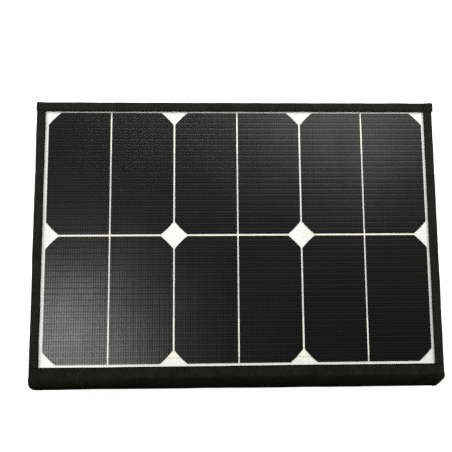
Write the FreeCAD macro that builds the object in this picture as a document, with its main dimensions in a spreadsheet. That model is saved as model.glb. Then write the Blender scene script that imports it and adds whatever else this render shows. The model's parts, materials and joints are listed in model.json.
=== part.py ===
import FreeCAD, Part

# A folding solar panel in a fabric case, folded up and lying flat.
#
# Three leaves are stacked in a Z: the rear leaf lies face up on its pocket, the middle leaf
# lies face down on it, and the front leaf lies face up on top. The rear fold joins the rear
# and middle leaves along the far edge (+Y), and the front fold joins the middle and front
# leaves along the near edge (-Y).
#
# Frame: +X to the right, +Y away, +Z up. The origin is on the floor, under the middle of the
# folded panel. Every sub-part is drawn about the centre of the cell grid and placed by its
# Placement, so plan positions in the spreadsheet are counted from the grid's centre.

import math
import os

import Sketcher

DOC = FreeCAD.newDocument("folding_solar_panel")
SHEET = DOC.addObject("Spreadsheet::Sheet", "dims")

COLUMNS = 3
ROWS = 2
LEAVES = ("front", "middle", "rear")

# Driving dimensions, mm. The alias is the name that every expression uses.
DRIVING = (
    # cells
    ("wafer_side", 125.0),
    ("wafer_diameter", 160.0),
    ("half_cell_gap", 1.5),
    ("column_gap", 1.7),
    ("row_gap", 1.8),
    ("band_height", 37.5),
    ("band_from_edge", 5.5),
    ("band_inset", 8.0),
    ("row_strip_width", 100.0),
    ("row_strip_height", 8.0),
    ("link_width", 8.0),
    ("link_height", 26.0),
    # margins between the cell grid and the fabric
    ("side_margin", 2.7),
    ("top_margin", 1.7),
    ("fold_margin", 2.8),
    # tapes and strips
    ("side_tape_width", 8.8),
    ("top_tape_width", 8.55),
    ("top_tape_overhang", 1.3),
    ("fold_lap", 10.0),
    ("tape_thickness", 0.7),
    ("tape_web", 0.8),
    # layers of a leaf, from the back to the face
    ("cover_thickness", 0.7),
    ("board_thickness", 2.0),
    ("backsheet_thickness", 0.35),
    ("link_thickness", 0.10),
    ("link_depth", 0.05),
    ("strip_thickness", 0.10),
    ("cell_thickness", 0.16),
    ("encapsulant_thickness", 0.50),
    ("clear_sheet_thickness", 0.45),
    ("leaf_gap", 0.6),
    # folds
    ("spine_thickness", 1.8),
    ("front_fold_reach", 20.7),
    ("rear_fold_reach", 2.05),
    ("fold_clearance", 0.06),
    # terminal block and leads, let into the stiffener board
    ("block_length", 46.0),
    ("block_width", 16.0),
    ("block_thickness", 1.8),
    ("block_from_edge", 24.0),
    ("rear_block_low", 24.0),
    ("lead_diameter", 1.4),
    ("lead_spacing", 5.0),
    ("groove_width", 9.0),
    ("groove_depth", 1.75),
    # pocket
    ("pocket_height", 15.0),
    ("pocket_length", 340.0),
    ("pocket_width", 200.0),
    ("pocket_setback", 20.0),
    ("pocket_corner", 15.0),
    ("pocket_fabric", 0.8),
    ("zip_length", 300.0),
    ("zip_opening", 9.0),
    ("zip_height", 7.6),
    ("zip_tape_thickness", 0.6),
    ("coil_diameter", 1.4),
    ("coil_spacing", 2.4),
    ("zip_stop_length", 3.0),
    # zip slider and pull
    ("slider_length", 11.0),
    ("slider_height", 8.6),
    ("slider_plate", 1.1),
    ("slider_throat", 2.2),
    ("slider_divider", 0.8),
    ("slider_post", 3.0),
    ("slider_home", 138.0),
    ("bar_diameter", 1.6),
    ("bar_stand_off", 4.6),
    ("lug_thickness", 1.0),
    ("lug_length", 3.4),
    ("lug_edge", 0.4),
    ("lug_gap", 5.4),
    ("pull_length", 26.0),
    ("pull_width", 8.4),
    ("pull_neck", 4.8),
    ("pull_neck_length", 8.0),
    ("pull_shoulder", 12.0),
    ("pull_thickness", 1.4),
    ("pull_clearance", 0.15),
    ("pull_eye_wall", 0.9),
    # regulator
    ("case_length", 66.0),
    ("case_width", 44.0),
    ("case_height", 13.2),
    ("case_corner", 5.0),
    ("case_wall", 1.5),
    ("case_split", 6.6),
    ("case_x", -20.0),
    ("case_y", -40.0),
    ("case_lift", 0.4),
    ("circuit_lift", 0.8),
    ("circuit_thickness", 1.2),
    ("circuit_gap", 1.6),
    ("usb_width", 14.5),
    ("usb_depth", 14.0),
    ("usb_height", 6.2),
    ("usb_wall", 0.5),
    ("dc_diameter", 7.4),
    ("dc_depth", 11.0),
    ("dc_bore", 5.6),
    ("dc_bore_depth", 9.0),
    ("lens_diameter", 3.0),
    ("lens_offset", 22.0),
    # leads outside the leaves
    ("cable_diameter", 4.2),
    ("cable_run", 118.0),
    ("cable_bend", 24.0),
    ("lead_bend", 5.0),
    ("lead_play", 0.2),
    ("cable_below_split", 0.5),
    ("plug_diameter", 8.0),
    ("plug_length", 30.0),
    ("plug_reach", 30.0),
    ("plug_tip_diameter", 5.5),
    ("plug_tip_length", 10.0),
)

# Dimensions worked out from the driving ones.
DERIVED = (
    ("wafer_radius", "wafer_diameter / 2"),
    ("half_cell_width", "wafer_side / 2"),
    ("wafer_half", "wafer_side / 2"),
    ("corner_from_middle", "sqrt(wafer_radius ^ 2 - wafer_half ^ 2)"),
    ("column_pitch", "wafer_side + half_cell_gap + column_gap"),
    ("row_pitch", "wafer_side + row_gap"),
    ("columns_span", "column_pitch * %d" % (COLUMNS - 1)),
    ("rows_span", "row_pitch * %d" % (ROWS - 1)),
    ("first_column_x", "-columns_span / 2"),
    ("first_row_y", "-rows_span / 2"),
    ("grid_half_x", "(columns_span + wafer_side + half_cell_gap) / 2"),
    ("grid_half_y", "(rows_span + wafer_side) / 2"),
    ("half_gap_x", "half_cell_gap / 2"),
    ("wafer_outer_x", "half_gap_x + half_cell_width"),
    ("wafer_cut_x", "half_gap_x + corner_from_middle"),
    # laminate outline and tapes in plan
    ("tape_inner_x", "grid_half_x + side_margin"),
    ("tape_outer_x", "tape_inner_x + side_tape_width"),
    ("laminate_x", "tape_outer_x - tape_web"),
    ("top_tape_x", "tape_outer_x + top_tape_overhang"),
    ("tape_inner_top", "grid_half_y + top_margin"),
    ("tape_outer_top", "tape_inner_top + top_tape_width"),
    ("laminate_top", "tape_outer_top - tape_web"),
    ("strip_inner_low", "grid_half_y + fold_margin"),
    ("laminate_low", "strip_inner_low + fold_lap"),
    ("free_edge_low", "laminate_low + tape_web"),
    ("top_lap", "laminate_top - tape_inner_top"),
    # levels inside a leaf, from its back
    ("board_level", "cover_thickness"),
    ("backsheet_level", "board_level + board_thickness"),
    ("encapsulant_level", "backsheet_level + backsheet_thickness"),
    ("link_level", "encapsulant_level + link_depth"),
    ("strip_level", "link_level + link_thickness"),
    ("cell_level", "strip_level + strip_thickness"),
    ("clear_sheet_level", "encapsulant_level + encapsulant_thickness"),
    ("leaf_thickness", "clear_sheet_level + clear_sheet_thickness"),
    ("tape_face_level", "leaf_thickness + tape_thickness"),
    # levels of the stack
    ("rear_back_z", "pocket_height"),
    ("rear_face_z", "rear_back_z + leaf_thickness"),
    ("rear_tape_z", "rear_face_z + tape_thickness"),
    ("middle_face_z", "rear_tape_z + leaf_gap + tape_thickness"),
    ("middle_tape_z", "middle_face_z - tape_thickness"),
    ("middle_back_z", "middle_face_z + leaf_thickness"),
    ("middle_back_tape_z", "middle_back_z + tape_thickness"),
    ("front_back_tape_z", "middle_back_tape_z + leaf_gap"),
    ("front_back_z", "front_back_tape_z + tape_thickness"),
    ("front_face_z", "front_back_z + leaf_thickness"),
    ("front_tape_z", "front_face_z + tape_thickness"),
    ("rear_back_tape_z", "rear_back_z - tape_thickness"),
    # folds
    ("bead_radius", "spine_thickness / 2"),
    ("fold_outer_y", "strip_inner_low + front_fold_reach"),
    ("front_axis_y", "fold_outer_y - bead_radius"),
    ("spine_inner_y", "front_axis_y - bead_radius"),
    ("front_flap_y", "spine_inner_y - fold_clearance"),
    ("upper_axis_z", "front_face_z + tape_thickness / 2"),
    ("lower_axis_z", "middle_face_z - tape_thickness / 2"),
    ("rear_axis_y", "tape_outer_top + rear_fold_reach"),
    ("rear_axis_z", "rear_tape_z + leaf_gap / 2"),
    ("rear_flap_y", "rear_axis_y - bead_radius - fold_clearance"),
    ("rear_outer_y", "rear_axis_y + bead_radius"),
    ("middle_low", "laminate_low - top_lap"),
    ("middle_top", "laminate_top - fold_lap"),
    # placements
    ("plan_shift", "(fold_outer_y - rear_outer_y) / 2"),
    ("middle_shift", "plan_shift - (laminate_low - laminate_top)"),
    # terminal block and leads
    ("block_half", "block_length / 2"),
    ("block_low", "laminate_low - block_from_edge"),
    ("block_high", "block_low - block_width"),
    ("rear_block_high", "rear_block_low + block_width"),
    ("groove_half", "groove_width / 2"),
    ("lead_level", "board_level + groove_depth / 2"),
    ("lead_x", "lead_spacing / 2"),
    ("lead_radius", "lead_diameter / 2"),
    # pocket
    ("pocket_x", "pocket_length / 2"),
    ("pocket_low", "laminate_low - pocket_setback"),
    ("pocket_high", "pocket_width - pocket_low"),
    ("pocket_inner_x", "pocket_x - pocket_fabric"),
    ("pocket_inner_low", "pocket_low - pocket_fabric"),
    ("pocket_inner_high", "pocket_high - pocket_fabric"),
    ("pocket_inner_corner", "pocket_corner - pocket_fabric"),
    ("gusset_height", "pocket_height - pocket_fabric"),
    # zip, on the middle of the gusset's near wall
    ("zip_half", "zip_length / 2"),
    ("zip_y", "pocket_low - pocket_fabric / 2"),
    ("zip_opening_low", "zip_height - zip_opening / 2"),
    ("zip_opening_high", "zip_height + zip_opening / 2"),
    ("zip_tape_near", "zip_y + zip_tape_thickness / 2"),
    ("coil_radius", "coil_diameter / 2"),
    ("coil_low_z", "zip_height - coil_spacing / 2"),
    ("coil_high_z", "zip_height + coil_spacing / 2"),
    ("zip_tape_inner_low", "coil_low_z - coil_radius"),
    ("zip_tape_inner_high", "coil_high_z + coil_radius"),
    ("stop_near", "zip_y + coil_radius"),
    ("stop_x", "zip_half - zip_stop_length"),
    # slider and pull, counted from the zip's line
    ("slider_half_z", "slider_height / 2"),
    ("throat_half", "slider_throat / 2"),
    ("plate_near", "throat_half + slider_plate"),
    ("lug_top", "bar_stand_off + bar_diameter / 2 + lug_edge"),
    ("lug_inner_z", "lug_gap / 2"),
    ("lug_outer_z", "lug_inner_z + lug_thickness"),
    ("bar_radius", "bar_diameter / 2"),
    ("bar_length", "lug_outer_z * 2"),
    ("bar_y", "zip_y + bar_stand_off"),
    ("pull_eye_radius", "bar_radius + pull_clearance"),
    ("pull_end_radius", "pull_eye_radius + pull_eye_wall"),
    ("pull_neck_half", "pull_neck / 2"),
    ("pull_half", "pull_width / 2"),
    ("pull_low_z", "zip_height - pull_neck_half"),
    ("pull_face_y", "bar_y - pull_thickness / 2"),
    # regulator
    ("case_base", "pocket_fabric + case_lift"),
    ("case_floor", "case_base + case_wall"),
    ("case_split_z", "case_base + case_split"),
    ("case_top", "case_base + case_height"),
    ("case_ceiling", "case_top - case_wall"),
    ("case_lid_height", "case_height - case_split"),
    ("case_low_depth", "case_split - case_wall"),
    ("case_lid_depth", "case_lid_height - case_wall"),
    ("case_left", "case_x - case_length / 2"),
    ("case_right", "case_x + case_length / 2"),
    ("case_near", "case_y - case_width / 2"),
    ("case_far", "case_y + case_width / 2"),
    ("cavity_left", "case_left + case_wall"),
    ("cavity_right", "case_right - case_wall"),
    ("cavity_near", "case_near + case_wall"),
    ("cavity_far", "case_far - case_wall"),
    ("cavity_corner", "case_corner - case_wall"),
    ("circuit_z", "case_floor + circuit_lift"),
    ("circuit_top", "circuit_z + circuit_thickness"),
    ("circuit_left", "cavity_left + circuit_gap"),
    ("circuit_right", "cavity_right - circuit_gap"),
    ("circuit_near", "cavity_near + circuit_gap"),
    ("circuit_far", "cavity_far - circuit_gap"),
    ("usb_near", "case_y - usb_width / 2"),
    ("usb_far", "case_y + usb_width / 2"),
    ("usb_top", "circuit_top + usb_height"),
    ("usb_mouth_near", "usb_near + usb_wall"),
    ("usb_mouth_far", "usb_far - usb_wall"),
    ("usb_mouth_low", "circuit_top + usb_wall"),
    ("usb_mouth_high", "usb_top - usb_wall"),
    ("usb_mouth_depth", "usb_depth - usb_wall"),
    ("dc_radius", "dc_diameter / 2"),
    ("dc_bore_radius", "dc_bore / 2"),
    ("dc_z", "circuit_top + dc_radius"),
    ("lens_radius", "lens_diameter / 2"),
    ("lens_x", "case_x + lens_offset"),
    # leads outside the leaves
    ("cable_radius", "cable_diameter / 2"),
    ("cable_z", "case_split_z - cable_radius - cable_below_split"),
    ("cable_start_x", "case_right - case_wall"),
    ("cable_turn_x", "case_right + cable_run"),
    ("cable_turn_y", "case_y - cable_bend"),
    ("cable_return_y", "case_y - cable_bend * 2"),
    ("lead_drop_y", "(rear_block_low + rear_block_high) / 2"),
    ("lead_top_z", "rear_back_z + board_level"),
    ("lead_hole_radius", "cable_radius + lead_play"),
    ("lead_bend_z", "cable_z + lead_bend"),
    ("lead_bend_y", "lead_drop_y - lead_bend"),
    ("lead_end_y", "case_far - case_wall"),
    ("plug_radius", "plug_diameter / 2"),
    ("plug_tip_radius", "plug_tip_diameter / 2"),
    ("plug_x", "case_right + plug_reach"),
    ("plug_back_x", "plug_x - plug_length"),
)


def fill_sheet():
    row = 1
    for alias, value in DRIVING:
        SHEET.set("A%d" % row, alias)
        SHEET.set("B%d" % row, str(value))
        SHEET.setAlias("B%d" % row, alias)
        row += 1
    for alias, formula in DERIVED:
        SHEET.set("A%d" % row, alias)
        SHEET.set("B%d" % row, "=" + formula)
        SHEET.setAlias("B%d" % row, alias)
        row += 1
    DOC.recompute()


def size(token):
    """The value of a cell, where "-name" is minus the cell and "0" is nought."""
    if token == "0":
        return 0.0
    if token.startswith("-"):
        return -float(SHEET.get(token[1:]))
    return float(SHEET.get(token))


def cell(token):
    """The same token as an expression for setExpression."""
    if token == "0":
        return "0"
    if token.startswith("-"):
        return "-dims." + token[1:]
    return "dims." + token


def bind(target, path, token):
    target.setExpression(path, cell(token))


# Placements

# Half a turn about X, as an exact quaternion.
FLIPPED = FreeCAD.Rotation(1, 0, 0, 0)


def place(target, level="0", shift="plan_shift", flipped=False):
    """Puts a finished sub-part in the stack, counted from the floor and the grid's centre."""
    if flipped:
        target.Placement = FreeCAD.Placement(FreeCAD.Vector(), FLIPPED)
    bind(target, "Placement.Base.y", shift)
    bind(target, "Placement.Base.z", level)


def place_in_leaf(target, leaf):
    if leaf == "middle":
        place(target, "middle_back_z", "middle_shift", flipped=True)
    else:
        place(target, leaf + "_back_z")


# Sketches

def new_body(label):
    body = DOC.addObject("PartDesign::Body", label)
    body.Label = label
    body.AllowCompound = True
    return body


def origin_feature(body, role):
    return next(f for f in body.Origin.OriginFeatures if f.Role == role)


def new_sketch(body, plane, offset="0"):
    """A sketch on one of the body's own planes, moved along the plane's normal by a cell."""
    sketch = body.newObject("Sketcher::SketchObject", body.Label + "_sketch")
    sketch.AttachmentSupport = [(origin_feature(body, plane + "_Plane"), "")]
    sketch.MapMode = "FlatFace"
    if offset != "0":
        bind(sketch, "AttachmentOffset.Base.z", offset)
    return sketch


def pin_point(sketch, edge, end, point):
    """Holds one end of an edge at a pair of cells, counted from the sketch's origin."""
    for kind, token in zip(("DistanceX", "DistanceY"), point):
        index = sketch.addConstraint(Sketcher.Constraint(kind, -1, 1, edge, end, size(token)))
        sketch.setExpression("Constraints[%d]" % index, cell(token))


def vector(point):
    return FreeCAD.Vector(size(point[0]), size(point[1]), 0)


def draw_polygon(sketch, points):
    first = sketch.GeometryCount
    count = len(points)
    for i in range(count):
        start, end = vector(points[i]), vector(points[(i + 1) % count])
        sketch.addGeometry(Part.LineSegment(start, end))
    for i in range(count):
        joined = Sketcher.Constraint("Coincident", first + i, 2, first + (i + 1) % count, 1)
        sketch.addConstraint(joined)
        pin_point(sketch, first + i, 1, points[i])


def draw_rectangle(sketch, x_low, x_high, y_low, y_high):
    draw_polygon(sketch, [(x_low, y_low), (x_high, y_low), (x_high, y_high), (x_low, y_high)])


def draw_circle(sketch, centre, radius):
    circle = Part.Circle(vector(centre), FreeCAD.Vector(0, 0, 1), size(radius))
    edge = sketch.addGeometry(circle)
    pin_point(sketch, edge, 3, centre)
    index = sketch.addConstraint(Sketcher.Constraint("Radius", edge, size(radius)))
    sketch.setExpression("Constraints[%d]" % index, cell(radius))


def draw_rounded_rectangle(sketch, x_low, x_high, y_low, y_high, radius):
    """Four sides with round corners; each arc's centre is a radius in from two sides."""
    corners = (
        (x_high, y_low, 1, -1),
        (x_high, y_high, 1, 1),
        (x_low, y_high, -1, 1),
        (x_low, y_low, -1, -1),
    )
    r = size(radius)
    arcs = []
    for i, (x, y, side_x, side_y) in enumerate(corners):
        centre = FreeCAD.Vector(size(x) - side_x * r, size(y) - side_y * r, 0)
        circle = Part.Circle(centre, FreeCAD.Vector(0, 0, 1), r)
        start = math.radians(90 * (i - 1))
        arc = sketch.addGeometry(Part.ArcOfCircle(circle, start, start + math.radians(90)))
        arcs.append((arc, x, y, side_x, side_y))
        for kind, token, side in (("DistanceX", x, side_x), ("DistanceY", y, side_y)):
            value = size(token) - side * r
            index = sketch.addConstraint(Sketcher.Constraint(kind, -1, 1, arc, 3, value))
            expression = "%s %s dims.%s" % (cell(token), "-" if side > 0 else "+", radius)
            sketch.setExpression("Constraints[%d]" % index, expression)
        index = sketch.addConstraint(Sketcher.Constraint("Radius", arc, r))
        sketch.setExpression("Constraints[%d]" % index, "dims." + radius)
    for i in range(4):
        this, following = arcs[i][0], arcs[(i + 1) % 4][0]
        shape_now = sketch.Geometry[this]
        shape_next = sketch.Geometry[following]
        line = sketch.addGeometry(Part.LineSegment(shape_now.EndPoint, shape_next.StartPoint))
        sketch.addConstraint(Sketcher.Constraint("Tangent", this, 2, line, 1))
        sketch.addConstraint(Sketcher.Constraint("Tangent", line, 2, following, 1))


# Features

def pad(body, sketch, length, symmetric=False, reverse=False):
    feature = body.newObject("PartDesign::Pad", body.Label + "_pad")
    feature.Profile = sketch
    feature.SideType = "Symmetric" if symmetric else "One side"
    feature.Reversed = reverse
    expression = cell(length) + (" * 2" if symmetric else "")
    feature.setExpression("Length", expression)
    return feature


def pocket(body, sketch, length, reverse=False):
    """Cuts against the sketch's normal, or along it when reversed."""
    feature = body.newObject("PartDesign::Pocket", body.Label + "_cut")
    feature.Profile = sketch
    feature.Reversed = reverse
    bind(feature, "Length", length)
    return feature


def flat_plate(label, x_low, x_high, y_low, y_high, level, thickness):
    """A rectangular layer, drawn at its level and padded up by its thickness."""
    body = new_body(label)
    sketch = new_sketch(body, "XY", level)
    draw_rectangle(sketch, x_low, x_high, y_low, y_high)
    pad(body, sketch, thickness)
    return body


def laminate_plate(label, level, thickness):
    return flat_plate(label, "-laminate_x", "laminate_x", "-laminate_low", "laminate_top", level, thickness)


# The leaves

def cells(leaf):
    """Two half-cells of one round-cornered wafer, repeated over the grid."""
    body = new_body(leaf + "_cells")
    sketch = new_sketch(body, "XY", "cell_level")
    for side in ("", "-"):
        draw_half_cell(sketch, side)
    layer = pad(body, sketch, "cell_thickness")
    grid = body.newObject("PartDesign::LinearPattern", body.Label + "_grid")
    grid.Originals = [layer]
    grid.Direction = (sketch, ["H_Axis"])
    grid.Mode = "Extent"
    grid.Occurrences = COLUMNS
    bind(grid, "Length", "columns_span")
    grid.Direction2 = (sketch, ["V_Axis"])
    grid.Mode2 = "Extent"
    grid.Occurrences2 = ROWS
    bind(grid, "Length2", "rows_span")
    body.Tip = grid
    return body


def draw_half_cell(sketch, side):
    """Straight along the cut, with two corners rounded off by the wafer's own circle."""
    sign = -1 if side else 1
    middle_x, middle_y = size("first_column_x"), size("first_row_y")
    inner, outer, cut_x = size("half_gap_x"), size("wafer_outer_x"), size("wafer_cut_x")
    half, cut_y, radius = size("wafer_half"), size("corner_from_middle"), size("wafer_radius")
    steep = math.atan2(half, cut_y)
    shallow = math.radians(90) - steep

    def at(dx, dy):
        return FreeCAD.Vector(middle_x + sign * dx, middle_y + dy, 0)

    def line(x_from, y_from, x_to, y_to):
        return Part.LineSegment(at(x_from, y_from), at(x_to, y_to))

    def corner(upper):
        circle = Part.Circle(at(inner, 0), FreeCAD.Vector(0, 0, 1), radius)
        start, end = (shallow, steep) if upper == (sign > 0) else (-steep, -shallow)
        turn = 0 if sign > 0 else math.pi
        return Part.ArcOfCircle(circle, turn + start, turn + end)

    chain = (
        line(inner, -half, cut_x, -half),
        corner(upper=False),
        line(outer, -cut_y, outer, cut_y),
        corner(upper=True),
        line(cut_x, half, inner, half),
        line(inner, half, inner, -half),
    )
    edges = [sketch.addGeometry(piece) for piece in chain]
    for index, following in zip(edges, edges[1:] + edges[:1]):
        here = nearest_end(sketch, index, following)
        there = nearest_end(sketch, following, index)
        sketch.addConstraint(Sketcher.Constraint("Coincident", index, here, following, there))
    corners = (
        (0, 1, "half_gap_x", "-wafer_half"),
        (0, 2, "wafer_cut_x", "-wafer_half"),
        (2, 1, "wafer_outer_x", "-corner_from_middle"),
        (2, 2, "wafer_outer_x", "corner_from_middle"),
        (4, 1, "wafer_cut_x", "wafer_half"),
        (4, 2, "half_gap_x", "wafer_half"),
    )
    for edge, end, dx, dy in corners:
        for kind, middle, token, mirrored in (
            ("DistanceX", "first_column_x", dx, sign < 0),
            ("DistanceY", "first_row_y", dy, False),
        ):
            offset = -size(token) if mirrored else size(token)
            value = size(middle) + offset
            number = sketch.addConstraint(Sketcher.Constraint(kind, -1, 1, edges[edge], end, value))
            expression = "dims.%s %s (%s)" % (middle, "-" if mirrored else "+", cell(token))
            sketch.setExpression("Constraints[%d]" % number, expression)
    for arc in (1, 3):
        number = sketch.addConstraint(Sketcher.Constraint("Radius", edges[arc], radius))
        sketch.setExpression("Constraints[%d]" % number, "dims.wafer_radius")


def nearest_end(sketch, edge, neighbour):
    """Which end of an edge, 1 or 2, lies on the neighbouring edge."""
    piece, other = sketch.Geometry[edge], sketch.Geometry[neighbour]
    ends = (other.StartPoint, other.EndPoint)
    start_gap = min(piece.StartPoint.distanceToPoint(p) for p in ends)
    end_gap = min(piece.EndPoint.distanceToPoint(p) for p in ends)
    return 1 if start_gap < end_gap else 2


def grid_blocks(label, blocks, level, thickness):
    """Rectangles in the cell grid as one group of solids; each block is (x, y, width, height)."""
    boxes = []
    for number, (x, y, width, height) in enumerate(blocks, 1):
        box = DOC.addObject("Part::Box", "%s_%d" % (label, number))
        box.setExpression("Length", width)
        box.setExpression("Width", height)
        bind(box, "Height", thickness)
        box.setExpression("Placement.Base.x", "%s - (%s) / 2" % (x, width))
        box.setExpression("Placement.Base.y", "%s - (%s) / 2" % (y, height))
        bind(box, "Placement.Base.z", level)
        boxes.append(box)
    group = DOC.addObject("Part::Compound", label)
    group.Label = label
    group.Links = boxes
    return group


def gap_centres():
    """The x of every vertical gap between half-cells, as expressions."""
    centres = []
    for column in range(COLUMNS):
        middle = "dims.first_column_x + dims.column_pitch * %d" % column
        centres.append(middle)
        if column < COLUMNS - 1:
            centres.append(middle + " + dims.column_pitch / 2")
    return centres


BAND_TOP_Y = "dims.grid_half_y - dims.band_from_edge - dims.band_height / 2"
BAND_LOW_Y = "-dims.grid_half_y + dims.band_from_edge + dims.band_height / 2"


def cell_links(leaf):
    """Tinned links behind the vertical gaps, and one that joins the two rows at the right."""
    blocks = []
    for band in (BAND_TOP_Y, BAND_LOW_Y):
        for x in gap_centres():
            blocks.append((x, band, "dims.link_width", "dims.link_height"))
    last = "dims.grid_half_x - dims.half_cell_width / 2"
    blocks.append((last, "0", "dims.link_height", "dims.link_width"))
    return grid_blocks(leaf + "_cell_links", blocks, "link_level", "link_thickness")


def insulation_strips(leaf):
    """A band across each row, and a short strip under each wafer pair's row gap."""
    width = "(dims.grid_half_x - dims.band_inset) * 2"
    blocks = [("0", band, width, "dims.band_height") for band in (BAND_TOP_Y, BAND_LOW_Y)]
    for column in range(COLUMNS):
        middle = "dims.first_column_x + dims.column_pitch * %d" % column
        blocks.append((middle, "0", "dims.row_strip_width", "dims.row_strip_height"))
    return grid_blocks(leaf + "_insulation_strips", blocks, "strip_level", "strip_thickness")


def encapsulant(leaf, embedded):
    """The clear layer, cut out where the cells, strips and links lie in it."""
    layer = laminate_plate(leaf + "_encapsulant_layer", "encapsulant_level", "encapsulant_thickness")
    place_in_leaf(layer, leaf)
    held = DOC.addObject("Part::MultiFuse", leaf + "_embedded")
    held.Shapes = embedded
    cut = DOC.addObject("Part::Cut", leaf + "_encapsulant")
    cut.Label = leaf + "_encapsulant"
    cut.Base = layer
    cut.Tool = held
    return cut


def back_cover(leaf):
    """The rear leaf's cover has a hole where the lead drops into the pocket."""
    body = laminate_plate(leaf + "_back_cover", "0", "cover_thickness")
    if leaf == "rear":
        hole = new_sketch(body, "XY")
        draw_circle(hole, ("0", "lead_drop_y"), "lead_hole_radius")
        pocket(body, hole, "cover_thickness", reverse=True)
    return body


def stiffener_board(leaf):
    """A stiff sheet with a window for the terminal block and grooves for its leads."""
    body = laminate_plate(leaf + "_stiffener_board", "board_level", "board_thickness")
    window = new_sketch(body, "XY", "board_level")
    draw_rectangle(window, "-block_half", "block_half", *block_span(leaf))
    pocket(body, window, "board_thickness", reverse=True)
    for span in groove_spans(leaf):
        groove = new_sketch(body, "XY", "board_level")
        draw_rectangle(groove, "-groove_half", "groove_half", *span)
        pocket(body, groove, "groove_depth", reverse=True)
    return body


def block_span(leaf):
    """Near the front fold on two leaves; over the pocket on the rear leaf."""
    spans = {
        "front": ("-block_low", "-block_high"),
        "middle": ("block_high", "block_low"),
        "rear": ("rear_block_low", "rear_block_high"),
    }
    return spans[leaf]


def groove_spans(leaf):
    """A groove runs from the block to each fold that the leaf has."""
    spans = {
        "front": [("-laminate_low", "-block_low")],
        "middle": [("-laminate_low", "block_high"), ("block_low", "laminate_top")],
        "rear": [("rear_block_high", "laminate_top")],
    }
    return spans[leaf]


def terminal_block(leaf):
    low, high = block_span(leaf)
    label = leaf + "_terminal_block"
    return flat_plate(label, "-block_half", "block_half", low, high, "board_level", "block_thickness")


def lead_wires(leaf):
    """Pairs of round wires in the grooves, from the block to the folds."""
    body = new_body(leaf + "_lead_wires")
    for low, high in groove_spans(leaf):
        sketch = new_sketch(body, "XZ", opposite(high))
        for side in ("-lead_x", "lead_x"):
            draw_circle(sketch, (side, "lead_level"), "lead_radius")
        pad_span(body, sketch, low, high)
    return body


def opposite(token):
    return token[1:] if token.startswith("-") else "-" + token


def pad_span(body, sketch, low, high):
    """Pads a sketch drawn at the far end of a span in Y back to the span's near end."""
    feature = body.newObject("PartDesign::Pad", body.Label + "_pad")
    feature.Profile = sketch
    feature.setExpression("Length", "%s - (%s)" % (cell(high), cell(low)))
    return feature


def side_tapes(leaf):
    """Folded tape round each side edge, between the tapes or strips that cross it."""
    low = "-strip_inner_low" if leaf == "rear" else "-laminate_low"
    high = "tape_inner_top" if leaf == "front" else "laminate_top"
    body = new_body(leaf + "_side_tapes")
    sketch = new_sketch(body, "XZ", opposite(high))
    for side in ("", "-"):
        draw_polygon(sketch, channel(side, "tape_inner_x", "laminate_x", "tape_outer_x"))
    pad_span(body, sketch, low, high)
    return body


def channel(side, inner, edge, outer):
    """A U round a leaf's edge: open towards the middle, a leg on the face and one on the back."""
    return [
        (side + inner, "-tape_thickness"),
        (side + outer, "-tape_thickness"),
        (side + outer, "tape_face_level"),
        (side + inner, "tape_face_level"),
        (side + inner, "leaf_thickness"),
        (side + edge, "leaf_thickness"),
        (side + edge, "0"),
        (side + inner, "0"),
    ]


def edge_tape(label, side, inner, edge, outer, half_length):
    """The tape along a free edge, over the ends of the side tapes."""
    body = new_body(label)
    sketch = new_sketch(body, "YZ")
    draw_polygon(sketch, channel(side, inner, edge, outer))
    pad(body, sketch, half_length, symmetric=True)
    return body


def build_leaf(leaf):
    """Makes and places every layer of one leaf, and returns its sub-parts."""
    parts = [
        back_cover(leaf),
        stiffener_board(leaf),
        terminal_block(leaf),
        lead_wires(leaf),
        laminate_plate(leaf + "_backsheet", "backsheet_level", "backsheet_thickness"),
        laminate_plate(leaf + "_clear_sheet", "clear_sheet_level", "clear_sheet_thickness"),
        side_tapes(leaf),
    ]
    embedded = [cell_links(leaf), insulation_strips(leaf), cells(leaf)]
    parts += embedded
    for part in parts:
        place_in_leaf(part, leaf)
    parts.append(encapsulant(leaf, embedded))
    return parts


# The folds. Each strip laps the leaf's face and back and reaches out to the fold's axis.

def fold_strip(label, legs, flap):
    """A binding over the leaf's edge, with a flap as wide as the whole case."""
    body = new_body(label)
    lap = new_sketch(body, "YZ")
    for outline in legs:
        draw_polygon(lap, outline)
    pad(body, lap, "tape_inner_x", symmetric=True)
    reach = new_sketch(body, "YZ")
    draw_polygon(reach, flap)
    pad(body, reach, "tape_outer_x", symmetric=True)
    return body


def rectangle(y_low, y_high, z_low, z_high):
    return [(y_low, z_low), (y_high, z_low), (y_high, z_high), (y_low, z_high)]


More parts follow.
